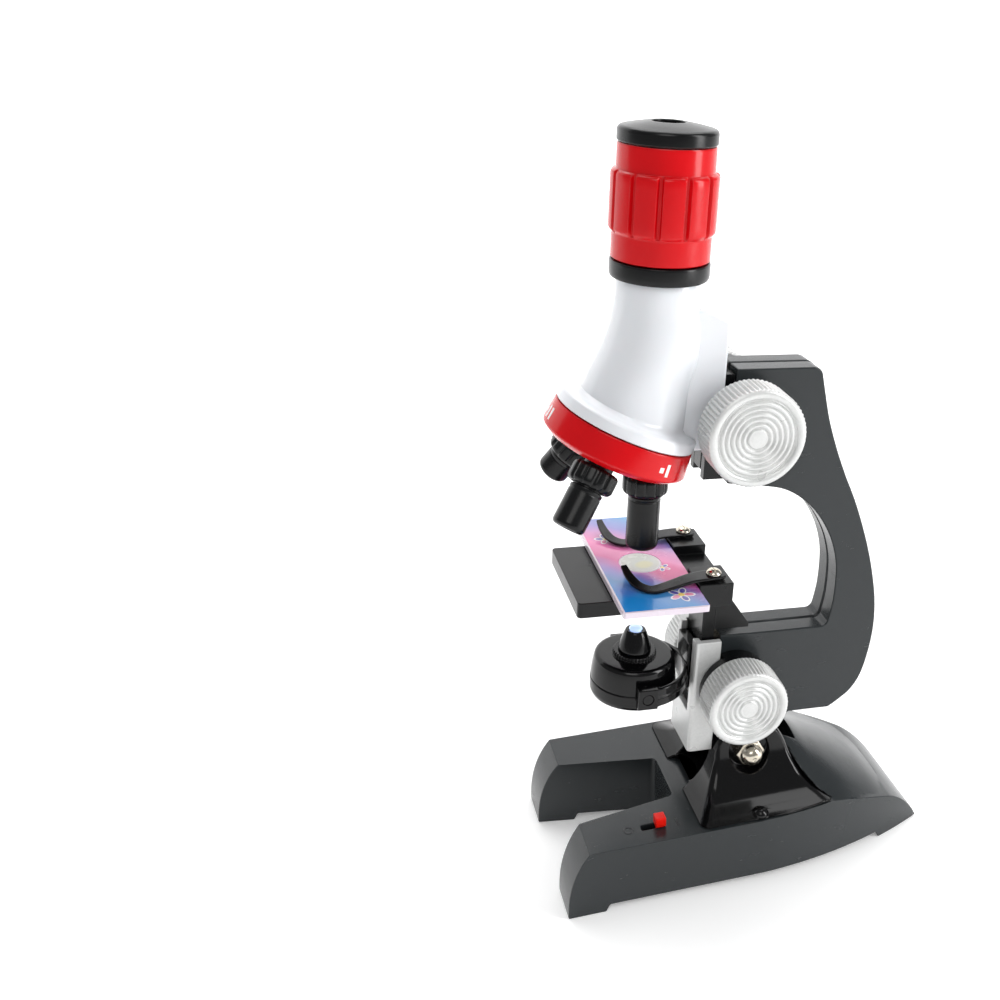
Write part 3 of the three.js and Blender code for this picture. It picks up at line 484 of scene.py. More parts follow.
def silver_plastic():
    """Silver-coloured moulded plastic: fine metallic flakes under a satin surface."""
    material, tree, surface, place = new_look()
    flakes = remap(tree, noise(tree, place, 0.7), 0.3, 0.7, 0.0, 1.0)
    body = mix(tree, flakes, srgb(213, 214, 213), srgb(220, 221, 220))
    clouds = remap(tree, noise(tree, place, 9.0, 3.0), 0.35, 0.65, 0.0, 0.25)
    body = mix(tree, clouds, body, srgb(212, 212, 210))
    body = worn(tree, body, place, srgb(236, 236, 234), 0.1)
    rough = remap(tree, noise(tree, place, 8.0), 0.3, 0.7, 0.27, 0.33)
    connect(tree, surface, Base_Color=body, Roughness=rough, Metallic=0.25,
            Normal=uneven(tree, place, (7.0, 0.008)))
    return material


def metal(colour, roughness, brush=(1.0, 1.0, 12.0)):
    """Plated metal: fine brushed lines, small tarnish spots and brighter worn edges."""
    material, tree, surface, place = new_look()
    tarnish = remap(tree, noise(tree, place, 1.6, 4.0), 0.45, 0.75, 0.0, 0.5)
    body = mix(tree, tarnish, colour, scaled_colour(colour, 0.72))
    body = worn(tree, body, place, srgb(250, 246, 238), 0.4)
    lines = noise(tree, place, 0.5, 2.0, brush)
    rough = remap(tree, lines, 0.3, 0.7, roughness * 0.7, roughness * 1.4)
    connect(tree, surface, Base_Color=body, Roughness=rough, Metallic=1.0,
            Normal=uneven(tree, place, (0.4, 0.004)))
    return material


def glass(colour, transmission, roughness=0.03, lit=0.0):
    """Moulded clear plastic with faint flow waves and a little surface dust."""
    material, tree, surface, place = new_look()
    dust = noise(tree, place, 0.3, 2.0)
    cloud = remap(tree, noise(tree, place, 2.5, 2.0), 0.3, 0.7, 0.0, 1.0)
    body = mix(tree, cloud, colour, scaled_colour(colour, 0.93))
    rough = remap(tree, dust, 0.6, 0.8, roughness, roughness + 0.15)
    connect(tree, surface, Base_Color=body, Roughness=rough, Transmission_Weight=transmission, IOR=1.49,
            Coat_Weight=0.3, Emission_Color=colour, Emission_Strength=lit,
            Normal=uneven(tree, place, (1.8, 0.006)))
    return material


def mirror_look():
    """Silvered disc with faint wipe marks."""
    material, tree, surface, place = new_look()
    wipes = noise(tree, place, 1.2, 3.0, (6.0, 1.0, 1.0))
    body = mix(tree, wipes, srgb(228, 234, 240), srgb(240, 244, 247))
    connect(tree, surface, Base_Color=body, Metallic=1.0, Roughness=remap(tree, wipes, 0.4, 0.8, 0.03, 0.1),
            Normal=uneven(tree, place, (4.0, 0.002)))
    return material


def cell_jacket():
    """Printed film on a battery: two bands of colour with a worn metallic sheen."""
    material, tree, surface, place = new_look()
    along = add(tree, "SeparateXYZ", {"Vector": place}).outputs["Y"]
    band = remap(tree, along, 0.0098, 0.0102, 0.0, 1.0)
    body = mix(tree, band, srgb(46, 104, 72), srgb(196, 168, 96))
    scuffs = remap(tree, noise(tree, place, 2.0, 4.0), 0.5, 0.7, 0.0, 0.3)
    body = mix(tree, scuffs, body, srgb(150, 150, 140))
    rough = remap(tree, scuffs, 0.0, 0.3, 0.25, 0.45)
    connect(tree, surface, Base_Color=body, Metallic=0.45, Roughness=rough,
            Normal=uneven(tree, place, (0.5, 0.01)))
    return material


def reach_along(tree, place, row):
    """How far the place lies along one row of a matrix."""
    dot = add(tree, "VectorMath", {0: place, 1: tuple(row[:3])}, operation="DOT_PRODUCT")
    return math_node(tree, "ADD", dot.outputs["Value"], row[3])


def spot(tree, place, x, y, wide, long, turn=0.0):
    """1 inside an ellipse on the slide's top, in arm millimetres, and above 1 outside it."""
    to_spot = (ARM @ shift((x, y, slide["z1"])) @ Matrix.Rotation(turn, 4, "Z")).inverted()
    squares = []
    for row, size in zip(to_spot, (wide, long)):
        scaled = math_node(tree, "DIVIDE", reach_along(tree, place, row), size)
        squares.append(math_node(tree, "MULTIPLY", scaled, scaled))
    return math_node(tree, "ADD", *squares)


def inside(tree, distance, limit=1.0, softness=0.06):
    return remap(tree, distance, limit - softness, limit + softness, 1.0, 0.0)


def slide_print():
    """Clear plastic slide with a sky-to-pink print, generic petals and a pale round window."""
    material, tree, surface, place = new_look()
    middle_x = (slide["x0"] + slide["x1"]) / 2
    to_arm = ARM.inverted()
    across = {axis: reach_along(tree, place, row) for axis, row in zip("xyz", to_arm)}
    wobble = remap(tree, noise(tree, place, 14.0, 2.0), 0.3, 0.7, -3.0, 3.0)
    pull = math_node(tree, "MULTIPLY", math_node(tree, "SUBTRACT", across["x"], middle_x), 0.9)
    along = math_node(tree, "ADD", math_node(tree, "ADD", across["y"], wobble), pull)
    share = remap(tree, along, -28.0, 33.0, 0.0, 1.0)
    ramp = add(tree, "ValToRGB", {"Fac": share})
    stops = [(0.0, (24, 134, 212)), (0.16, (80, 150, 216)), (0.3, (150, 120, 196)), (0.42, (216, 84, 158)),
             (0.55, (236, 128, 184)), (0.68, (206, 134, 190)), (0.8, (140, 132, 202)), (1.0, (92, 160, 214))]
    while len(ramp.color_ramp.elements) < len(stops):
        ramp.color_ramp.elements.new(0.5)
    for element, (position, colour) in zip(ramp.color_ramp.elements, stops):
        element.position = position
        element.color = srgb(*colour)
    body = ramp.outputs["Color"]
    magenta = inside(tree, spot(tree, place, -27.5, -9.0, 5.0, 8.0, 0.5), softness=0.5)
    body = mix(tree, math_node(tree, "MULTIPLY", magenta, 0.75), body, srgb(222, 62, 140))
    deep = inside(tree, spot(tree, place, -43.0, -15.0, 3.4, 4.4, -0.4), softness=0.6)
    body = mix(tree, math_node(tree, "MULTIPLY", deep, 0.45), body, srgb(66, 84, 190))
    for flower_x, flower_y, size in ((-41.0, 16.5, 1.0), (-29.0, -20.5, 1.15), (-29.5, -4.0, 0.7)):
        for k in range(5):
            turn = TAU * k / 5 + flower_x
            petal_x = flower_x + 1.9 * size * math.cos(turn)
            petal_y = flower_y + 1.9 * size * math.sin(turn)
            petal = spot(tree, place, petal_x, petal_y, 1.6 * size, 0.95 * size, turn)
            body = mix(tree, inside(tree, petal), body, srgb(246, 244, 250))
            tint = srgb(238, 140, 178) if k % 2 else srgb(96, 88, 178)
            body = mix(tree, inside(tree, petal, 0.5), body, tint)
        heart = spot(tree, place, flower_x, flower_y, 0.8 * size, 0.8 * size)
        body = mix(tree, inside(tree, heart), body, srgb(252, 226, 120))
    window = spot(tree, place, optical_x, 0.0, 5.6, 5.6)
    body = mix(tree, inside(tree, window, 1.12, 0.03), body, srgb(238, 232, 240))
    body = mix(tree, inside(tree, window, 0.98, 0.03), body, srgb(206, 208, 200))
    specimen = inside(tree, spot(tree, place, optical_x + 0.8, -1.4, 2.6, 2.0, 0.4), softness=0.5)
    body = mix(tree, math_node(tree, "MULTIPLY", specimen, 0.6), body, srgb(232, 224, 160))
    # Pale on all four sides, and a painted highlight in a 0.5 mm band along the front and near edges of the
    # top.
    top = remap(tree, across["z"], slide["z1"] - 0.12, slide["z1"] - 0.05, 0.0, 1.0)
    edges = math_node(tree, "MINIMUM",
                      remap(tree, across["x"], slide["x0"] + 0.5, slide["x0"] + 0.6, 0.0, 1.0),
                      remap(tree, across["y"], slide["near"] + 0.5, slide["near"] + 0.6, 0.0, 1.0))
    body = mix(tree, math_node(tree, "MULTIPLY", top, edges), srgb(226, 214, 226), body)
    smears = noise(tree, place, 6.0, 3.0)
    connect(tree, surface, Base_Color=body, Roughness=remap(tree, smears, 0.3, 0.7, 0.12, 0.3),
            Coat_Weight=0.5, Coat_Roughness=0.05, Normal=uneven(tree, place, (0.5, 0.004), (9.0, 0.01)))
    return material


def floor_look():
    """Matt pale paper sweep with a barely visible tooth, and painted light: it glows more brightly towards
    the back, where it rises.
    """
    material, tree, surface, place = new_look("floor")
    back = add(tree, "SeparateXYZ", {"Vector": place}).outputs["Y"]
    body = mix(tree, noise(tree, place, 40.0), srgb(250, 250, 250), srgb(253, 253, 253))
    tooth = add(tree, "Bump", {"Height": noise(tree, place, 0.8), "Distance": 0.02 * MM})
    # Painted light: the emission grows from 0.2 at the front to 0.9 at the back, where the sweep rises.
    connect(tree, surface, Base_Color=body, Roughness=0.75, Normal=tooth.outputs[0],
            Emission_Color=srgb(255, 255, 255), Emission_Strength=remap(tree, back, 0.1, 0.8, 0.2, 0.9))
    return material


looks = {
    "charcoal_plastic": plastic(srgb(37, 41, 43), 0.25, (0.28, 0.002), wear=0.12, shine=0.42),
    "gloss_black_plastic": plastic(srgb(9, 9, 10), 0.12, (0.9, 0.003), wear=0.1, shine=0.32),
    "satin_black_plastic": plastic(srgb(11, 12, 13), 0.25, (0.25, 0.003), wear=0.2, shine=0.3),
    "red_plastic": plastic(srgb(208, 8, 18), 0.18, (0.8, 0.003), coat=0.05, wear=0.2, glow=0.05, shine=0.25),
    "white_plastic": plastic(srgb(233, 235, 239), 0.2, (0.9, 0.003), coat=0.3, wear=0.1, variation=0.01,
                             glow=0.05),
    "silver_plastic": silver_plastic(),
    "nickel_steel": metal(srgb(214, 206, 190), 0.2),
    "contact_metal": metal(srgb(206, 202, 192), 0.3),
    "lens_glass": glass(srgb(226, 236, 244), 0.95),
    "lamp_glass": glass(srgb(206, 226, 255), 0.2, 0.1, 0.5),
    "mirror": mirror_look(),
    "slide_print": slide_print(),
    "cell_jacket": cell_jacket(),
    "switch_red": plastic(srgb(236, 24, 10), 0.3, (0.8, 0.003), wear=0.15, shine=0.25),
    "white_ink": plastic(srgb(244, 236, 236), 0.4, (0.3, 0.004), wear=0.0),
    "grey_mark": plastic(srgb(28, 30, 32), 0.45, (0.3, 0.004), wear=0.1),
}
for look_name, finished in looks.items():
    finished.name = look_name

# ---- base (world frame)


def base_plan(margin):
    """Plan of the horseshoe: two forward legs and a tapering tail with a blunt end."""
    side = base["half"] - margin
    front = base["front"] + margin
    back = base["back"] - margin
    tail_x, tail_y = 57 - margin, 15.2 - margin
    leg_front, leg_back = 15.6 + margin, 9.8 + margin
    crotch = base["crotch"] + margin
    return path(
        (front, -side), (0, -side), ((30, 1.3 - side), (tail_x, -tail_y)),
        ((back, margin - 14.5), (back, margin - 12)), (back, 12 - margin),
        ((back, 14.5 - margin), (tail_x, tail_y)), ((30, side - 1.3), (0, side)), (front, side),
        (front, leg_front), (crotch - 2, leg_back), ((crotch, leg_back), (crotch, leg_back - 2)),
        (crotch, 2 - leg_back), ((crotch, -leg_back), (crotch - 2, -leg_back)), (front, -leg_front))


def base_side():
    """Side view along the base's edges, with an arched floor line between the feet."""
    front, back, top, arch = base["front"], base["back"], base["top"], base["arch"]
    return path(
        (front, 0), (front + 11.5, 0), (front + 12.7, arch), (41, arch), (42.2, 0), (back - 0.2, 0),
        ((53.6, 10.2), (45.9, 14.4)), ((34, 19.6), (22.5, top)), (front + 6.9, top),
        ((front - 0.2, 14), (front, 0)))[:-1]


def hollow_side():
    front, back, ceiling = base["front"], base["back"], base["top"] - 2
    return path(
        (front + 3, -1), (back - 3.2, -1), (back - 4.4, 2), ((51, 8.4), (45, 11.8)),
        ((33, 17), (21.5, ceiling)), (front + 9.5, ceiling), ((front + 3, 13), (front + 3, -1)))[:-1]


# Saddle behind the fork, from front to back: (x, height of the crest, height at the base's edge).
saddle_stations = [(9.3, 37.6, 21.2), (13.6, 36.8, 21.2), (18.4, 33.8, 21.2), (23, 30.4, 20.8),
                   (29, 26.4, 19.6), (36, 22.0, 16.8), (42, 18.0, 14.6), (47.3, 13.7, 12.4)]


def saddle(stations, margin, steps=22):
    """Hump that flares from a rounded crest out to the base's edges."""
    edge_half = base["half"] + 1 - margin
    rings = []
    for x, crest, edge in through(stations, 5):
        half = []
        for k in range(steps + 1):
            rise = math.sin(math.pi / 2 * k / steps) ** 1.35
            half.append((edge_half * (1 - k / steps), edge + (crest - edge) * rise - margin))
        across = half + [(-y, z) for y, z in reversed(half[:-1])]
        rings.append([(x, y, z) for y, z in [(-edge_half, 10 - margin), (edge_half, 10 - margin), *across]])
    return skin(rings)


# Fork sections from the skirt up: (z, front, back, half width, corner radius).
fork_sections = [(22.6, -20, 22.5, 28, 3), (23.4, -18.6, 21, 25.4, 3), (25.4, -16, 18.4, 20.6, 2.6),
                 (28.5, -13.6, 15.8, 16.6, 2.2), (32.5, -11.8, 13.6, 13.9, 1.8), (37, -10.6, 12, 12.3, 1.5),
                 (41, -9, 9.8, 11.6, 1.5), (44, -5.6, 6, 11.3, 1.5), (45, -2.6, 3, 11.2, 1.3)]


def fork_skin(grow=0.0):
    return skin([rounded_section(x0 - grow, x1 + grow, half + grow, corner, z)
                 for z, x0, x1, half, corner in through(fork_sections, 6)])


def in_front_of_fork():
    """Everything above the base's top and in front of the fork's rear edge."""
    rear_edge = [(x1 + gap + 0.04, z) for z, _, x1, _, _ in through(fork_sections, 6)]
    return side_prism([(-30, 22.35), (22.8, 22.35), *rear_edge, (3.3, 60), (-30, 60)], -41, 41)


def base_body():
    hump = cut(saddle(saddle_stations, 0), in_front_of_fork())
    upper = join(side_prism(base_side(), -40, 40), hump)
    outside = common(plan_prism(base_plan(0), -1, 60), upper)
    room = join(side_prism(hollow_side(), -40, 40), saddle(saddle_stations[3:-1], 3))
    hollow = common(plan_prism(base_plan(2), -2, 60), room)
    arm_slot = box(-18, 17.5, -cheek_inner, cheek_inner, 24.3, 60)
    x, y, travel = switch["x"], switch["y"], switch["travel"]
    switch_slot = box(x - travel - 1.5, x + 1.5, y - 1.1, y + 1.1, 18, 24)
    shell = cut(outside, hollow, fork_skin(gap), arm_slot, switch_slot)
    stand_in(soften(shell, 0.35), "base_shell", WORLD, sharp=30)


def hinge_fork():
    """Glossy fork that carries the arm, with a small dome on the near edge of its skirt."""
    dome = [(2.2, 22.7), (2.2, 23.4), (2.05, 23.9), (1.6, 24.5), (1.0, 24.9), (0.3, 25.1)]
    body = join(fork_skin(), turned(dome, 48, x=-1, y=-26))
    fork = common(body, plan_prism(base_plan(0.4), 20, 50))
    slots = [box(x0, x1, -cheek_inner, cheek_inner, low, 50)
             for x0, x1, low in ((-25, 8.5, 24.3), (8, 25, 26))]
    holes = [rod_y(2.2, -30, 30, z=hinge_height), rod_y(6.4, -30, -11, z=hinge_height),
             rod_y(6.4, 11, 30, z=hinge_height), rod(8, 20, 25, x=-21.4)]
    stand_in(soften(cut(fork, *slots, *holes), 0.4, 3), "hinge_fork", WORLD, sharp=34)


def hexagon(across_flats, low, high, chamfer=0.5):
    """Hexagonal prism about Z with its corners turned back at the high end."""
    corner = across_flats / math.sqrt(3)
    prism = turned([(corner, low), (corner, high)], 6)
    slope = [(corner + 1, low - 1), (corner + 0.2, high - chamfer), (corner - chamfer * 1.7, high)]
    return common(prism, turned(slope, 64))


def along_y(side):
    """Turns a solid built up Z so that it points to +Y or -Y, through the hinge."""
    return shift((0, 0, hinge_height)) @ lying(side)


def hinge_hardware():
    dome = [(0, 17.15), (0.35, 17.15), (0.7, 17.4), (1.8, 17.1), (2.6, 16.5), (3.1, 15.8), (3.4, 14.9),
            (3.5, 13.8)]
    nut = cut(join(hexagon(8, 11.3, 14.1), turned(dome, 64)), rod(2.15, 11, 15))
    stand_in(moved(soften(nut, 0.12), along_y(-1)), "hinge_nut", WORLD)
    bolt = join(hexagon(7, 11.3, 14.4), rod(2, -14.6, 11.6))
    stand_in(moved(soften(bolt, 0.12), along_y(1)), "hinge_bolt", WORLD)


def power_switch():
    x, y, half, top = switch["x"], switch["y"], switch["size"] / 2, base["top"]
    cap = box(x - half, x + half, y - half, y + half, top + 0.3, top + 3.4)
    stem = box(x - 1.2, x + 1.2, y - 0.8, y + 0.8, 18, top + 1)
    foot = box(x - 1.5, x + 1.5, y - 1.5, y + 1.5, 16.3, 18.4)
    stand_in(soften(join(cap, stem, foot), 0.3, 3), "switch_slider", WORLD, looks["switch_red"])


def switch_marks():
    """Raised generic marks on each side of the switch: a bar for on and a ring for off."""
    top = base["top"] - 0.02
    x, y = switch["x"] - switch["travel"] / 2, switch["y"]
    bar = box(x + 7.2, x + 7.8, y - 1.5, y + 1.5, top, top + 0.14)
    band = [(1.0, top), (1.6, top), (1.6, top + 0.14), (1.0, top + 0.14)]
    ring = turned(band, 48, closed=True, x=x - 7.5, y=y)
    marks = merge(soften(bar, 0.04, 1), soften(ring, 0.04, 1))
    show(marks, "switch_marks", WORLD, "base_shell", look=looks["grey_mark"])


def cell(node, x, plus_side):
    """AA cell lying across the base, with a shrunk film lip and a raised plus terminal."""
    centre_z = base["arch"] + 0.2 + 1.6 + 7.1 + 0.3
    profile = [(0, -24.2), (4.5, -24.2), (4.7, -24.0), (6.6, -24.0), (7.0, -24.2), (7.1, -23.8), (7.1, 23.2),
               (6.9, 23.6), (6.2, 23.5), (5.8, 23.8), (2.8, 23.8), (2.6, 24.0), (2.6, 25.0), (2.4, 25.2),
               (0, 25.2)]
    place = shift((x, 0, centre_z)) @ lying(plus_side)
    stand_in(moved(turned(profile, 64), place), node, WORLD)


def crossed_recess(low, high, x=0.0, y=0.0):
    return [box(x - a, x + a, y - b, y + b, low, high) for a, b in ((1.2, 0.22), (0.22, 1.2))]


def cover_screw(node, x, y):
    """Pan-head screw in the bottom cover, with a crossed recess."""
    level = base["arch"] + 0.2
    profile = [(0, -1.1), (1.2, -1.05), (1.8, -0.8), (2.1, -0.5), (2.1, -0.3)]
    head = cut(turned(profile, 48, x=x, y=y, z=level), *crossed_recess(level - 1.3, level - 0.6, x, y))
    shank = merge(rod(1.1, level - 0.32, level + 1.1, x, y), rod(0.85, level + 1.05, level + 5, x, y))
    stand_in(merge(head, shank), node, WORLD)


# ---- arm (arm frame)

bowed_back = [(14.7, 8.2), (28, 8.2), (31.6, 10.8), (35, 14), (37.7, 19.2), (39.3, 27.4), (39.8, 36.5),
              (38.9, 45.5), (36.9, 54.2), (34.3, 62.7), (31.1, 71.2), (27.5, 79.5), (23.4, 87.6),
              (19.7, 95.7), (16.2, 104.8), (13.8, 113.2)]
bay = [(-2, 85.6), (3.4, 84.6), (8.2, 82.5), (13, 78.9), (17.1, 74.4), (20.8, 68.5), (23.2, 62.5),
       (24.5, 56.2), (24.8, 47), (24.1, 40.6)]
arm_front = {"upper": -13.0, "lower": -10.6}


def arm_outline():
    lower = path((9.2, 5.4), (14.7, 8.2))
    back = through(bowed_back[1:], 5)
    upper_x, lower_x = arm_front["upper"], arm_front["lower"]
    top = path((12.7, 117.4), ((12.2, 120.5), (9.2, 120.5)), (upper_x, 120.6), (upper_x, 87))
    corner = path((23.9, 39.6), ((23.4, 37.9), (21.6, 37.9)))
    return (arc(0, 0, 8, 180, 360) + lower + back + top + through(bay, 5) + corner
            + [(lower_x, 37.9), (lower_x, 3)])


def arm_shell(node, side):
    """Half of the arm, with a fine step along the seam, a raised lip on its face and bosses."""
    outline = arm_outline()

    def between(low, high):
        return (low, high) if side > 0 else (-high, -low)

    body = join(side_prism(outline, *between(0.34, arm_half)),
                side_prism(inset(outline, 0.36), *between(0.05, 0.4)))
    body = cut(body, side_prism(inset(outline, 1.8), *between(-1, arm_half - 1.8)))
    inner_wall = arm_half - 1
    solids = [
        rod_y(5, *between(0.1, inner_wall)),
        rod_y(8.6, *between(0.1, inner_wall), focus_axis.x + 4, focus_axis.z),
        *[rod_y(3, *between(0.1, inner_wall), x, z) for x, z in ((12, 98), (30, 28))],
    ]
    bosses = [common(solid, side_prism(inset(outline, 0.7), -10, 10)) for solid in solids]
    focus_boss = cut(rod_y(10.5, *between(arm_half - 1, 12.2), focus_axis.x, focus_axis.z, 72),
                     box(-40, arm_front["upper"], *between(0, 8.4), 80, 130))
    body = join(body, focus_boss, *bosses)
    holes = [
        rod_y(2.3, *between(-1, 8)),
        rod_y(4.2, *between(-1, 3.6), focus_axis.x, focus_axis.z),
        rod_y(2.15, *between(-1, 20), focus_axis.x, focus_axis.z),
        rod_y(2.15, *between(-1, 20), stage_axis.x, stage_axis.z),
        box(arm_front["upper"] - 1, focus_axis.x + 4.2, *between(-1, 3.6), 100.5, 112.5),
        box(arm_front["lower"] - 1, 1.6, *between(-1, 3.6), stage_axis.z - 7.2, stage_axis.z + 7.2),
    ]
    for x, z in ((12, 98), (30, 28)):
        holes.append(rod_y(1.2, -1, 4.4, x, z) if side > 0 else rod_y(1.2, -5, 1, x, z))
        if side > 0:
            holes.append(rod_y(2.4, 4.2, 8, x, z))
    stand_in(soften(cut(body, *holes), 0.45, 3), node, sharp=34)


def stage_bush(node, side):
    low, high = (arm_half + gap, 12.2) if side > 0 else (-12.2, -arm_half - gap)
    flange = rod_y(11, low, high, stage_axis.x, stage_axis.z, 72)
    notch = box(-30, guide["back"] + gap, *sorted((0, side * (guide["half"] + gap))), -10, 50)
    bore = rod_y(2.15, -20, 20, stage_axis.x, stage_axis.z)
    stand_in(soften(cut(flange, notch, bore), 0.3), node)


def knob(node, axis, side, radius, teeth):
    """Finely knurled knob whose face has a raised rim and concentric ridges round a flat button."""
    inner, face = 12.7, 22.9
    ridge_step = 1.5
    profile = [(0, 21.4), (2.15, 21.4), (2.15, inner), (radius - 1.1, inner), (radius - 0.5, inner + 0.15),
               (radius - 0.1, inner + 0.6)]
    profile += [(radius, inner + 0.9 + 0.85 * k) for k in range(10)]
    profile += [(radius, face - 0.95), (radius - 0.3, face - 0.5), (radius - 0.75, face - 0.12),
                (radius - 1.2, face), (radius - 1.9, face - 0.03), (radius - 2.35, face - 0.25),
                (radius - 2.6, face - 0.62)]
    reach = radius - 2.85
    while reach > 2.3:
        groove = (0.5 - 0.5 * math.cos(TAU * (reach - 2.3) / ridge_step)) ** 2
        profile.append((reach, face - 0.36 - 0.55 * groove))
        reach -= ridge_step / 10
    profile += [(2.2, face - 0.42), (1.9, face - 0.36), (1.0, face - 0.34), (0, face - 0.33)]

    def knurl(angle, at_radius, height):
        grooved = at_radius > radius - 0.2 and height < face - 0.4
        fade = min(1.0, (height - inner - 0.2) / 0.8, (face - 0.5 - height) / 0.8)
        wave = (0.5 - 0.5 * math.cos(teeth * angle)) ** 1.4
        return at_radius - (0.65 * max(fade, 0.0) * wave if grooved else 0.0)

    solid = turned(profile, teeth * 6, knurl)
    turn = shift((axis.x, 0, axis.z)) @ lying(side)
    stand_in(moved(solid, turn), node, sharp=50)


def stage_guide():
    """Silver channel on the arm's front: rounded uprights, open above, slotted in front."""
    front, back, half = guide["front"], guide["back"], guide["half"]
    outline = path((back, -half), (back, half), (front + 1.4, half), ((front, half), (front, half - 1.4)),
                   (front, 1.4 - half), ((front, -half), (front + 1.4, -half)))
    channel = plan_prism(outline, guide["bottom"], guide["top"])
    room = box(front + 1.9, back + 1, 1.9 - half, half - 1.9, guide["bottom"] + 1.9, guide["top"] + 1)
    slot = box(front - 1, front + 2.4, -5.2, 5.2, 12, guide["top"] + 1)
    stand_in(soften(cut(channel, room, slot), 0.3, 3), "stage_guide", sharp=34)


def lamp_yoke():
    """Half ring that carries the lamp, with pivot blocks, a stiffening rib and a mounting tongue."""
    z = lamp_pivot
    band = [(14.9, -3), (15.9, -3), (16.2, -2.7), (16.2, 2.7), (15.9, 3), (14.9, 3)]
    rib = [(14.95, -0.5), (16.55, -0.35), (16.55, 0.35), (14.95, 0.5)]
    rings = [turned(profile, 120, closed=True, x=optical_x, z=z) for profile in (band, rib)]
    half = common(join(*rings), box(optical_x - 3, 0, -20, 20, 0, 50))
    eyes = [box(optical_x - 3, optical_x + 3, *sorted((side * 14.2, side * 16.6)), z - 3.2, z + 3.2)
            for side in (-1, 1)]
    tongue = box(optical_x + 15.2, guide["front"] + 1.9, -4.8, 4.8, z - 5, z + 10)
    yoke = cut(join(half, *eyes, tongue), rod_y(1.7, -20, 20, optical_x, z))
    stand_in(soften(yoke, 0.25), "lamp_yoke")


def arm_screw(node, x, z):
    head = turned([(0, 6.1), (1.3, 6.08), (1.8, 5.9), (2.1, 5.5), (2.1, 4.5)], 48)
    screw = merge(cut(head, *crossed_recess(5.5, 7)), rod(0.95, -4, 4.48))
    turn = shift((x, 0, z)) @ lying(1)
    stand_in(moved(screw, turn), node)


# ---- head (arm frame)


def on_nose_axis(distance):
    return nose_centre.x + math.sin(nose_lean) * distance, nose_centre.z + math.cos(nose_lean) * distance


def head_shell():
    """White head: round neck, flaring cone, leaning flange, and the column that rides on the arm."""
    flange = [(*on_nose_axis(d), r, nose_lean)
              for d, r in ((0.4, 20.0), (0.7, 20.25), (3.0, 20.1), (3.6, 19.8))]
    step = [(*on_nose_axis(d), r, nose_lean) for d, r in ((3.9, 19.2), (4.15, 17.8), (4.5, 16.4))]
    cone = through([(*on_nose_axis(5.4), 15.4, nose_lean), (-38.4, 117.5, 14.0, nose_lean / 2),
                    (-36.2, 124.5, 13.5, nose_lean / 5), (-35.1, 131, 12.8, 0.0),
                    (optical_x, 137.5, 11.9, 0.0), (optical_x, 143.7, 11.2, 0.0),
                    (optical_x, 144.2, 10.9, 0.0)], 8)
    outside = skin([circle(*ring) for ring in flange + step + cone])
    column = rounded([(-31, 104), (-26, 98), (-16.6, 98), (-16.6, 134.2), (-18.6, 135.2), (-23.6, 137.4),
                      (-31, 137.4)], 1.7, 4)
    post = soften(side_prism(column, -8, 8), 0.9, 3)
    channel = box(-20.4, -15, -6, 6, 97, 132.8)
    hole = rod(0.7, 135.5, 140, x=-21.6, segments=24)
    light_path = rod(4.6, 90, 146, x=optical_x)
    below = skin([circle(*on_nose_axis(d), 18.2, nose_lean) for d in (-1, 2.6)])
    above = skin([circle(x, z, r - 1.8, lean) for x, z, r, lean in (
        (*on_nose_axis(6.4), 15.2, nose_lean), *cone[8:-1], (optical_x, 146, 11.2, 0.0))])
    shell = cut(join(outside, post), channel, hole, light_path, below, above)
    stand_in(soften(shell, 0.2, 2, 75), "head_shell", sharp=40)


def tube_ring():
    profile = [(9.6, 144.5), (12.2, 144.5), (12.9, 144.75), (13.2, 145.3), (13.3, 146.2), (13.3, 148.7),
               (13.15, 149.1), (12.8, 149.3), (9.6, 149.3)]
    stand_in(turned(profile, 128, closed=True, x=optical_x), "tube_ring")


def nosepiece_pin():
    """Slotted rivet that holds the nosepiece to the head."""
    head = turned([(0, -10.9), (1.6, -10.9), (2.6, -10.6), (3.2, -10.1), (3.4, -9.5), (3.4, -9.1)], 64)
    slotted = cut(head, box(-4, 4, -0.35, 0.35, -12, -10.4))
    stand_in(merge(slotted, rod(1.35, -9.08, 8.4)), "nosepiece_pin", NOSE)


# ---- eyepiece (arm frame)

grip = {"low": 156.4, "high": 172.0, "radius": 14.05, "flutes": 12, "turn": math.radians(8.5)}


def eyepiece_barrel():
    """Red barrel with raised grip panels between narrow grooves, rounded at every edge."""
    low, high = grip["low"], grip["high"]
    profile = [(9.6, 149.6), (12.8, 149.6), (13.1, 149.9), (13.1, low - 0.6), (13.05, low - 0.25),
               (13.2, low)]
    rise = [(13.5, low + 0.25), (13.9, low + 0.7), (grip["radius"], low + 1.2)]
    flats = [(grip["radius"], low + 1.2 + (high - low - 2.4) * k / 8) for k in range(1, 9)]
    fall = [(13.9, high - 0.6), (13.45, high - 0.2), (12.9, high - 0.02)]
    upper = [(12.75, high + 0.15), (12.7, 178.0), (12.5, 178.4), (9.6, 178.4)]

    def panels(angle, radius, height):
        if radius <= 13.1 or not low < height < high - 0.01:
            return radius
        turn = ((angle - grip["turn"]) * grip["flutes"] / TAU) % 1.0 - 0.5
        groove = min(1.0, max(0.0, (abs(turn) - 0.40) / 0.035))
        crown = 0.10 * (1 - (turn / 0.40) ** 2) if abs(turn) < 0.40 else 0.0
        smooth = groove * groove * (3 - 2 * groove)
        return radius - 0.10 + crown - (radius - 0.10 - 12.95) * smooth

    segments = grip["flutes"] * 30
    solid = turned(profile + rise + flats + fall + upper, segments, panels, closed=True, x=optical_x)
    stand_in(solid, "eyepiece_barrel", sharp=44)


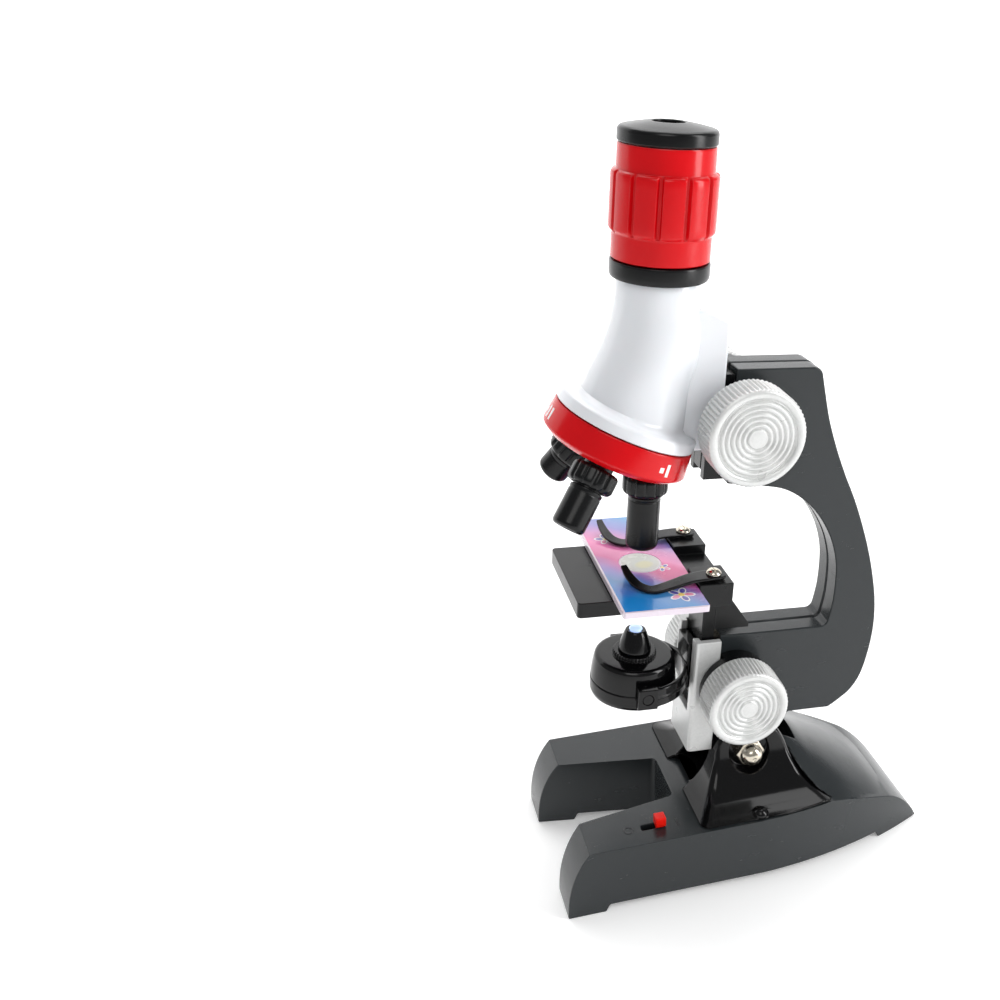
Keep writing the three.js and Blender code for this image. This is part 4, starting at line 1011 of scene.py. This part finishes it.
def eyepiece_cap():
    profile = [(4.1, 178.7), (12.6, 178.7), (12.9, 179.0), (12.9, 181.4), (12.75, 181.9), (12.4, 182.3)]
    profile += through([(11.9, 182.5), (8.6, 183.2), (5.2, 183.75)], 5)
    profile += [(4.7, 183.8), (4.3, 183.7), (4.1, 183.4)]
    stand_in(turned(profile, 128, closed=True, x=optical_x), "eyepiece_cap")


# ---- nosepiece (its own frame)

objectives = {"long": 55.6, "medium": 51.0, "short": 46.5}


def on_objective(k):
    """Place of objective k, whose Z runs from its tip to the apex where all three axes meet."""
    return (NOSE @ shift((0, 0, nose_apex)) @ Matrix.Rotation(-k * TAU / 3, 4, "Z")
            @ Matrix.Rotation(-nose_lean, 4, "Y"))


def nosepiece_disc():
    profile = [(1.6, -8.8), (18.2, -8.8), (18.9, -8.65), (20.8, -7.3), (21.05, -6.9), (21.05, -6.5),
               (20.25, -0.35), (20.0, -0.05), (19.0, 0), (18.2, -1.6), (17.8, -2), (1.6, -2)]
    disc = turned(profile, 160, closed=True)
    holes = [moved(rod(4.4, -60, 0), NOSE.inverted() @ on_objective(k)) for k in range(3)]
    stand_in(cut(disc, *holes), "nosepiece_disc", NOSE, sharp=44)


def power_marks():
    """Generic power marks on the disc's rim: one, two or three bars beside a dot for each objective."""

    def patch(centre, half_width, low, high):
        rings = []
        for height in (low, high):
            outer = 20.25 + (-0.35 - height) * 0.8 / 6.15
            front, behind = [], []
            for k in range(7):
                angle = centre + half_width * (k / 3 - 1) / 20.6
                front.append(((outer + 0.06) * math.cos(angle), (outer + 0.06) * math.sin(angle), height))
                behind.append(((outer - 0.05) * math.cos(angle), (outer - 0.05) * math.sin(angle), height))
            rings.append(front + behind[::-1])
        return skin(rings)

    patches = []
    for k in range(3):
        for bar in range(k + 1):
            patches.append(patch(math.radians(-120 * k - 64 + 6.5 * bar), 0.55, -5.6, -2.2))
        patches.append(patch(math.radians(-120 * k - 64 - 6.0), 0.7, -4.7, -3.3))
    show(merge(*patches), "power_marks", NOSE, "nosepiece_disc", look=looks["white_ink"])


def collar(node, k):
    """Objective collar with twelve rounded grip flutes."""
    profile = [(4.95, -38.8), (5.5, -38.8), (5.9, -38.6), (6.3, -38.1), (6.5, -37.6), (6.5, -36.6),
               (6.5, -35.6), (6.5, -34.4), (6.4, -33.8), (6.0, -33.3), (5.6, -33.2), (4.95, -33.2)]

    def flutes(angle, radius, height):
        dip = (0.5 - 0.5 * math.cos(12 * angle)) ** 6
        return radius - 0.42 * dip if radius > 5.8 else radius

    stand_in(turned(profile, 144, flutes, closed=True), node, on_objective(k), sharp=50)


def barrel(node, k, tip):
    """Objective barrel with a fine groove below the collar and a stepped, rounded nose."""
    profile = [(2.9, -tip), (3.5, -tip), (3.9, 0.1 - tip), (4.35, 0.45 - tip), (4.6, 0.95 - tip),
               (4.65, 1.5 - tip), (4.65, -40.9), (4.5, -40.7), (4.5, -40.4), (4.65, -40.2), (4.65, -39.5),
               (4.1, -39.2), (4.1, -25), (2.9, -25)]
    stand_in(turned(profile, 96, closed=True), node, on_objective(k))


def objective_lens(node, k, tip):
    dome = [(2.0, 0.55), (2.5, 0.8), (2.6, 1.1), (2.6, 2.4), (0, 2.4)]
    profile = [(0, 0.4 - tip), (1.2, 0.45 - tip)] + [(r, h - tip) for r, h in dome]
    stand_in(turned(profile, 64), node, on_objective(k))


# ---- stage (arm frame)


def stage_plate():
    """Black stage with raised clip blocks, rounded front corners and a bracing web behind."""
    front, back, half, top = stage["front"], stage["back"], stage["half"], stage["top"]
    outline = rounded([(back, half), (front, half), (front, -half), (back, -half)], 1.4, 5, closed=False)
    plate = plan_prism(outline, top - stage["thick"], top)
    solids = []
    for side in (-1, 1):
        solids.append(box(-22.8, back, *sorted((side * 6.6, side * 18)), top - 4, 61.9))
        solids.append(box(-16.5, back, *sorted((side * 3.4, side * 6.2)), 14, top - 2))
        gusset = [(-13, 40), (-1.8, 40), (-1.8, 41.2), (-9.6, 52), (back, 56), (-13, 56)]
        solids.append(side_prism(gusset, *sorted((side * 3.6, side * 6))))
    solids.append(box(-16.5, -14.6, -6.2, 6.2, 14, top - 2))
    holes = [rod(1.25, top - 3, 80, clip_screw.x, side * clip_screw.y) for side in (-1, 1)]
    aperture = turned([(5.5, 0), (5.5, top - 0.8), (6.3, top + 0.01), (6.3, 80)], 64, x=optical_x)
    plate = cut(join(plate, *solids), aperture, *holes)
    stand_in(soften(plate, 0.25, 3), "stage_plate", sharp=34)


def specimen_slide():
    x0, x1, near, far = (slide[key] for key in ("x0", "x1", "near", "far"))
    outline = rounded([(x0, near), (x1, near), (x1, far), (x0, far)], 0.8, 4)
    card = plan_prism(outline, slide["z0"], slide["z1"])
    top = slide["z1"]
    groove = turned([(5.8, top - 0.12), (6.2, top - 0.12), (6.2, top + 1), (5.8, top + 1)], 72, closed=True,
                    x=optical_x)
    stand_in(soften(cut(card, groove), 0.1, 2), "specimen_slide")


def stage_clip(node, side, swing):
    """Spring clip: a strip over the slide's edge that curls round to a raised, narrowed tip."""
    stations = through([(3, 0, 62.4, 2.6), (-3.5, 0, 62.4, 2.7), (-8, -0.5, 62.3, 2.4),
                        (-14, -1.6, 61.7, 2.1), (-19, -2.2, 61.4, 1.9), (-22.2, 0.2, 61.8, 1.6),
                        (-23.6, 4, 62.8, 1.3), (-24.2, 7.6, 64.4, 0.9)], 6)
    rings = []
    for k, (x, y, z, half) in enumerate(stations):
        before = stations[max(k - 1, 0)]
        after = stations[min(k + 1, len(stations) - 1)]
        ahead = Vector((after[0] - before[0], after[1] - before[1]))
        across = Vector((-ahead.y, ahead.x)).normalized() * half
        end = min(1.0, 0.72 + 0.28 * k)
        section = rounded([(-end, 0.0), (end, 0.0), (end, 0.8), (-end, 0.8)], 0.22, 3)
        rings.append([(x + across.x * u, y + across.y * u, z + v) for u, v in section])
    strip = cut(skin(rings), rod(1.25, 50, 80))
    turn = shift((clip_screw.x, side * clip_screw.y, 0)) @ Matrix.Rotation(math.radians(swing), 4, "Z")
    stand_in(moved(strip, turn), node)


def clip_screw_piece(node, side):
    """Domed screw with a raised bead and a slot."""
    profile = [(0, 64.75), (0.7, 64.72), (1.3, 64.55), (1.8, 64.2), (2.1, 63.8), (2.2, 63.5), (2.2, 63.4)]
    head = cut(turned(profile, 64), box(-0.18, 0.18, -1.5, 1.5, 64.35, 66))
    screw = merge(head, rod(0.95, 57, 63.38))
    stand_in(moved(screw, shift((clip_screw.x, side * clip_screw.y, 0))), node)


# ---- lamp (arm frame)


def lamp_housing():
    """Glossy drum: lower body, seam, tapered cover and a finely toothed collar round the cone."""
    profile = [(0, -4.6), (10.5, -4.6), (10.6, -4.7), (10.6, -6.1), (10.8, -6.2), (12.1, -6.2), (12.5, -5.9),
               (12.85, -5.0), (12.9, -4.4), (12.9, -1.7), (12.75, -1.5), (12.45, -1.4), (12.45, -1.2),
               (12.75, -1.05), (12.8, -0.6), (12.4, 3), (11.95, 5.2), (11.7, 5.9), (11.2, 6.25), (10.6, 6.4),
               (7.2, 6.4), (6.6, 6.35), (6.5, 6.5), (6.5, 7.2), (6.3, 7.5), (5.9, 7.6), (0, 7.6)]

    def teeth(angle, radius, height):
        toothed = 6.25 < radius < 6.55 and height > 6.4
        return radius - (0.3 * (0.5 - 0.5 * math.cos(36 * angle)) ** 2 if toothed else 0.0)

    z = lamp_pivot
    drum = turned(profile, 216, teeth, x=optical_x, z=z)
    trunnions = rod_y(1.5, -16.4, 16.4, optical_x, z)
    notches = [box(optical_x + 1.6, optical_x + 4.2, *sorted((side * 11.2, side * 14)), z - 8, z - 4.9)
               for side in (-1, 1)]
    well = rod(1.9, z + 1, z + 20, x=optical_x)
    stand_in(cut(join(drum, trunnions), well, *notches), "lamp_housing")


def lamp_cone():
    profile = [(2.1, 7.9), (4.7, 7.9), (4.9, 8.1), (4.8, 8.7), (4.25, 10.6), (3.5, 12.9), (3.15, 13.8),
               (2.95, 14.1), (2.5, 14.2), (2.1, 14.1)]
    stand_in(turned(profile, 96, closed=True, x=optical_x, z=lamp_pivot), "lamp_cone")


def lamp_lens():
    profile = [(0, 5), (1.7, 5), (1.75, 14.0), (2.0, 14.4), (1.9, 14.7), (1.5, 15.0), (0.8, 15.15),
               (0, 15.2)]
    stand_in(turned(profile, 64, x=optical_x, z=lamp_pivot), "lamp_lens")


def lamp_mirror():
    profile = [(0, -5.9), (9.9, -5.9), (10.2, -5.6), (10.2, -4.9), (0, -4.9)]
    stand_in(turned(profile, 96, x=optical_x, z=lamp_pivot), "lamp_mirror")


# ---- CAD nodes that keep their shape


def dress_kept_nodes():
    """The nodes whose CAD shape stays get finished materials and softened edges."""
    for name, node in frame["nodes"].items():
        if node.hide_render:
            continue
        node.data.materials.clear()
        node.data.materials.append(looks[slot_of[name]])
        weld = node.modifiers.new("weld", "WELD")
        weld.merge_threshold = 0.005 * MM
        edge = node.modifiers.new("soften", "BEVEL")
        edge.width = 0.12 * MM
        edge.segments = 2
        edge.limit_method = "ANGLE"
        edge.angle_limit = math.radians(40)


# ---- floor, lights and camera


def area_light(name, location, target, size, power, colour=(1.0, 1.0, 1.0)):
    light = bpy.data.lights.new(name, "AREA")
    light.shape = "RECTANGLE"
    light.size, light.size_y = size
    light.energy = power
    light.color = colour
    lamp = bpy.data.objects.new(name, light)
    bpy.context.scene.collection.objects.link(lamp)
    lamp.location = location
    lamp.rotation_euler = (Vector(target) - Vector(location)).to_track_quat("-Z", "Y").to_euler()


def studio():
    """Pale sweep, bright even surroundings and three large softboxes."""
    reach, bend = 1.6, 0.9
    outline = path((-reach, 0.0), (bend, 0.0), ((reach, 0.0), (reach, reach)), (reach, reach + 0.6))
    rings = [[(x, u, v) for u, v in outline] for x in (-3.0, 3.0)]
    count = len(outline)
    faces = [(k, k + 1, count + k + 1, count + k) for k in range(count - 1)]
    sweep = blank([point for ring in rings for point in ring], faces)
    sweep.name = "floor"
    sweep.data.shade_smooth()
    sweep.data.materials.append(floor_look())

    world = bpy.data.worlds.new("studio")
    world.use_nodes = True
    backdrop = world.node_tree.nodes["Background"]
    backdrop.inputs["Color"].default_value = (0.97, 0.985, 1.0, 1.0)
    backdrop.inputs["Strength"].default_value = 0.3
    bpy.context.scene.world = world

    middle = (-0.01, 0.0, 0.1)
    area_light("key_box", (-0.25, -0.7, 0.8), middle, (0.5, 0.6), 2.3, (1.0, 0.99, 0.97))
    area_light("side_box", (0.75, -0.45, 0.4), middle, (0.3, 0.8), 6.0)
    area_light("top_box", (0.1, 0.3, 0.95), middle, (0.9, 0.7), 6.0)


def photo_camera():
    """Camera at the viewing angle of a catalogue shot, from the front left and above."""
    data = bpy.data.cameras.new("camera")
    data.lens = 42.73
    data.sensor_width = 36.0
    data.shift_x = -0.1411
    data.shift_y = -0.028
    data.clip_start = 0.01
    camera = bpy.data.objects.new("camera", data)
    bpy.context.scene.collection.objects.link(camera)
    camera.location = (-0.11403, -0.29124, 0.25898)
    camera.rotation_euler = (math.radians(66.54), 0.0, math.radians(-15.94))
    bpy.context.scene.camera = camera


# ---- the whole object

base_body()
hinge_fork()
hinge_hardware()
power_switch()
switch_marks()
cell("battery_front", -12.4, 1)
cell("battery_rear", 2.6, -1)
for side_name, screw_x, screw_y in (("left", -52, 22), ("right", -52, -22), ("rear", 46, 0)):
    cover_screw("base_screw_" + side_name, screw_x, screw_y)

for side_name, side_sign in (("near", -1), ("far", 1)):
    arm_shell("arm_shell_" + side_name, side_sign)
    stage_bush("stage_bush_" + side_name, side_sign)
    knob("focus_knob_" + side_name, focus_axis, side_sign, 13.8, 66)
    knob("stage_knob_" + side_name, stage_axis, side_sign, 12.27, 60)
    clip_screw_piece("clip_screw_" + side_name, side_sign)
stage_guide()
lamp_yoke()
arm_screw("arm_screw_upper", 12, 98)
arm_screw("arm_screw_lower", 30, 28)

head_shell()
tube_ring()
nosepiece_pin()
eyepiece_barrel()
eyepiece_cap()

nosepiece_disc()
power_marks()
for number, (size_name, tip_distance) in enumerate(objectives.items()):
    collar("objective_collar_" + size_name, number)
    barrel("objective_barrel_" + size_name, number, tip_distance)
    objective_lens("objective_lens_" + size_name, number, tip_distance)

stage_plate()
specimen_slide()
stage_clip("stage_clip_near", -1, 5)
stage_clip("stage_clip_far", 1, 0)

lamp_housing()
lamp_cone()
lamp_lens()
lamp_mirror()

dress_kept_nodes()
studio()
photo_camera()
bpy.context.scene.view_settings.view_transform = "Standard"
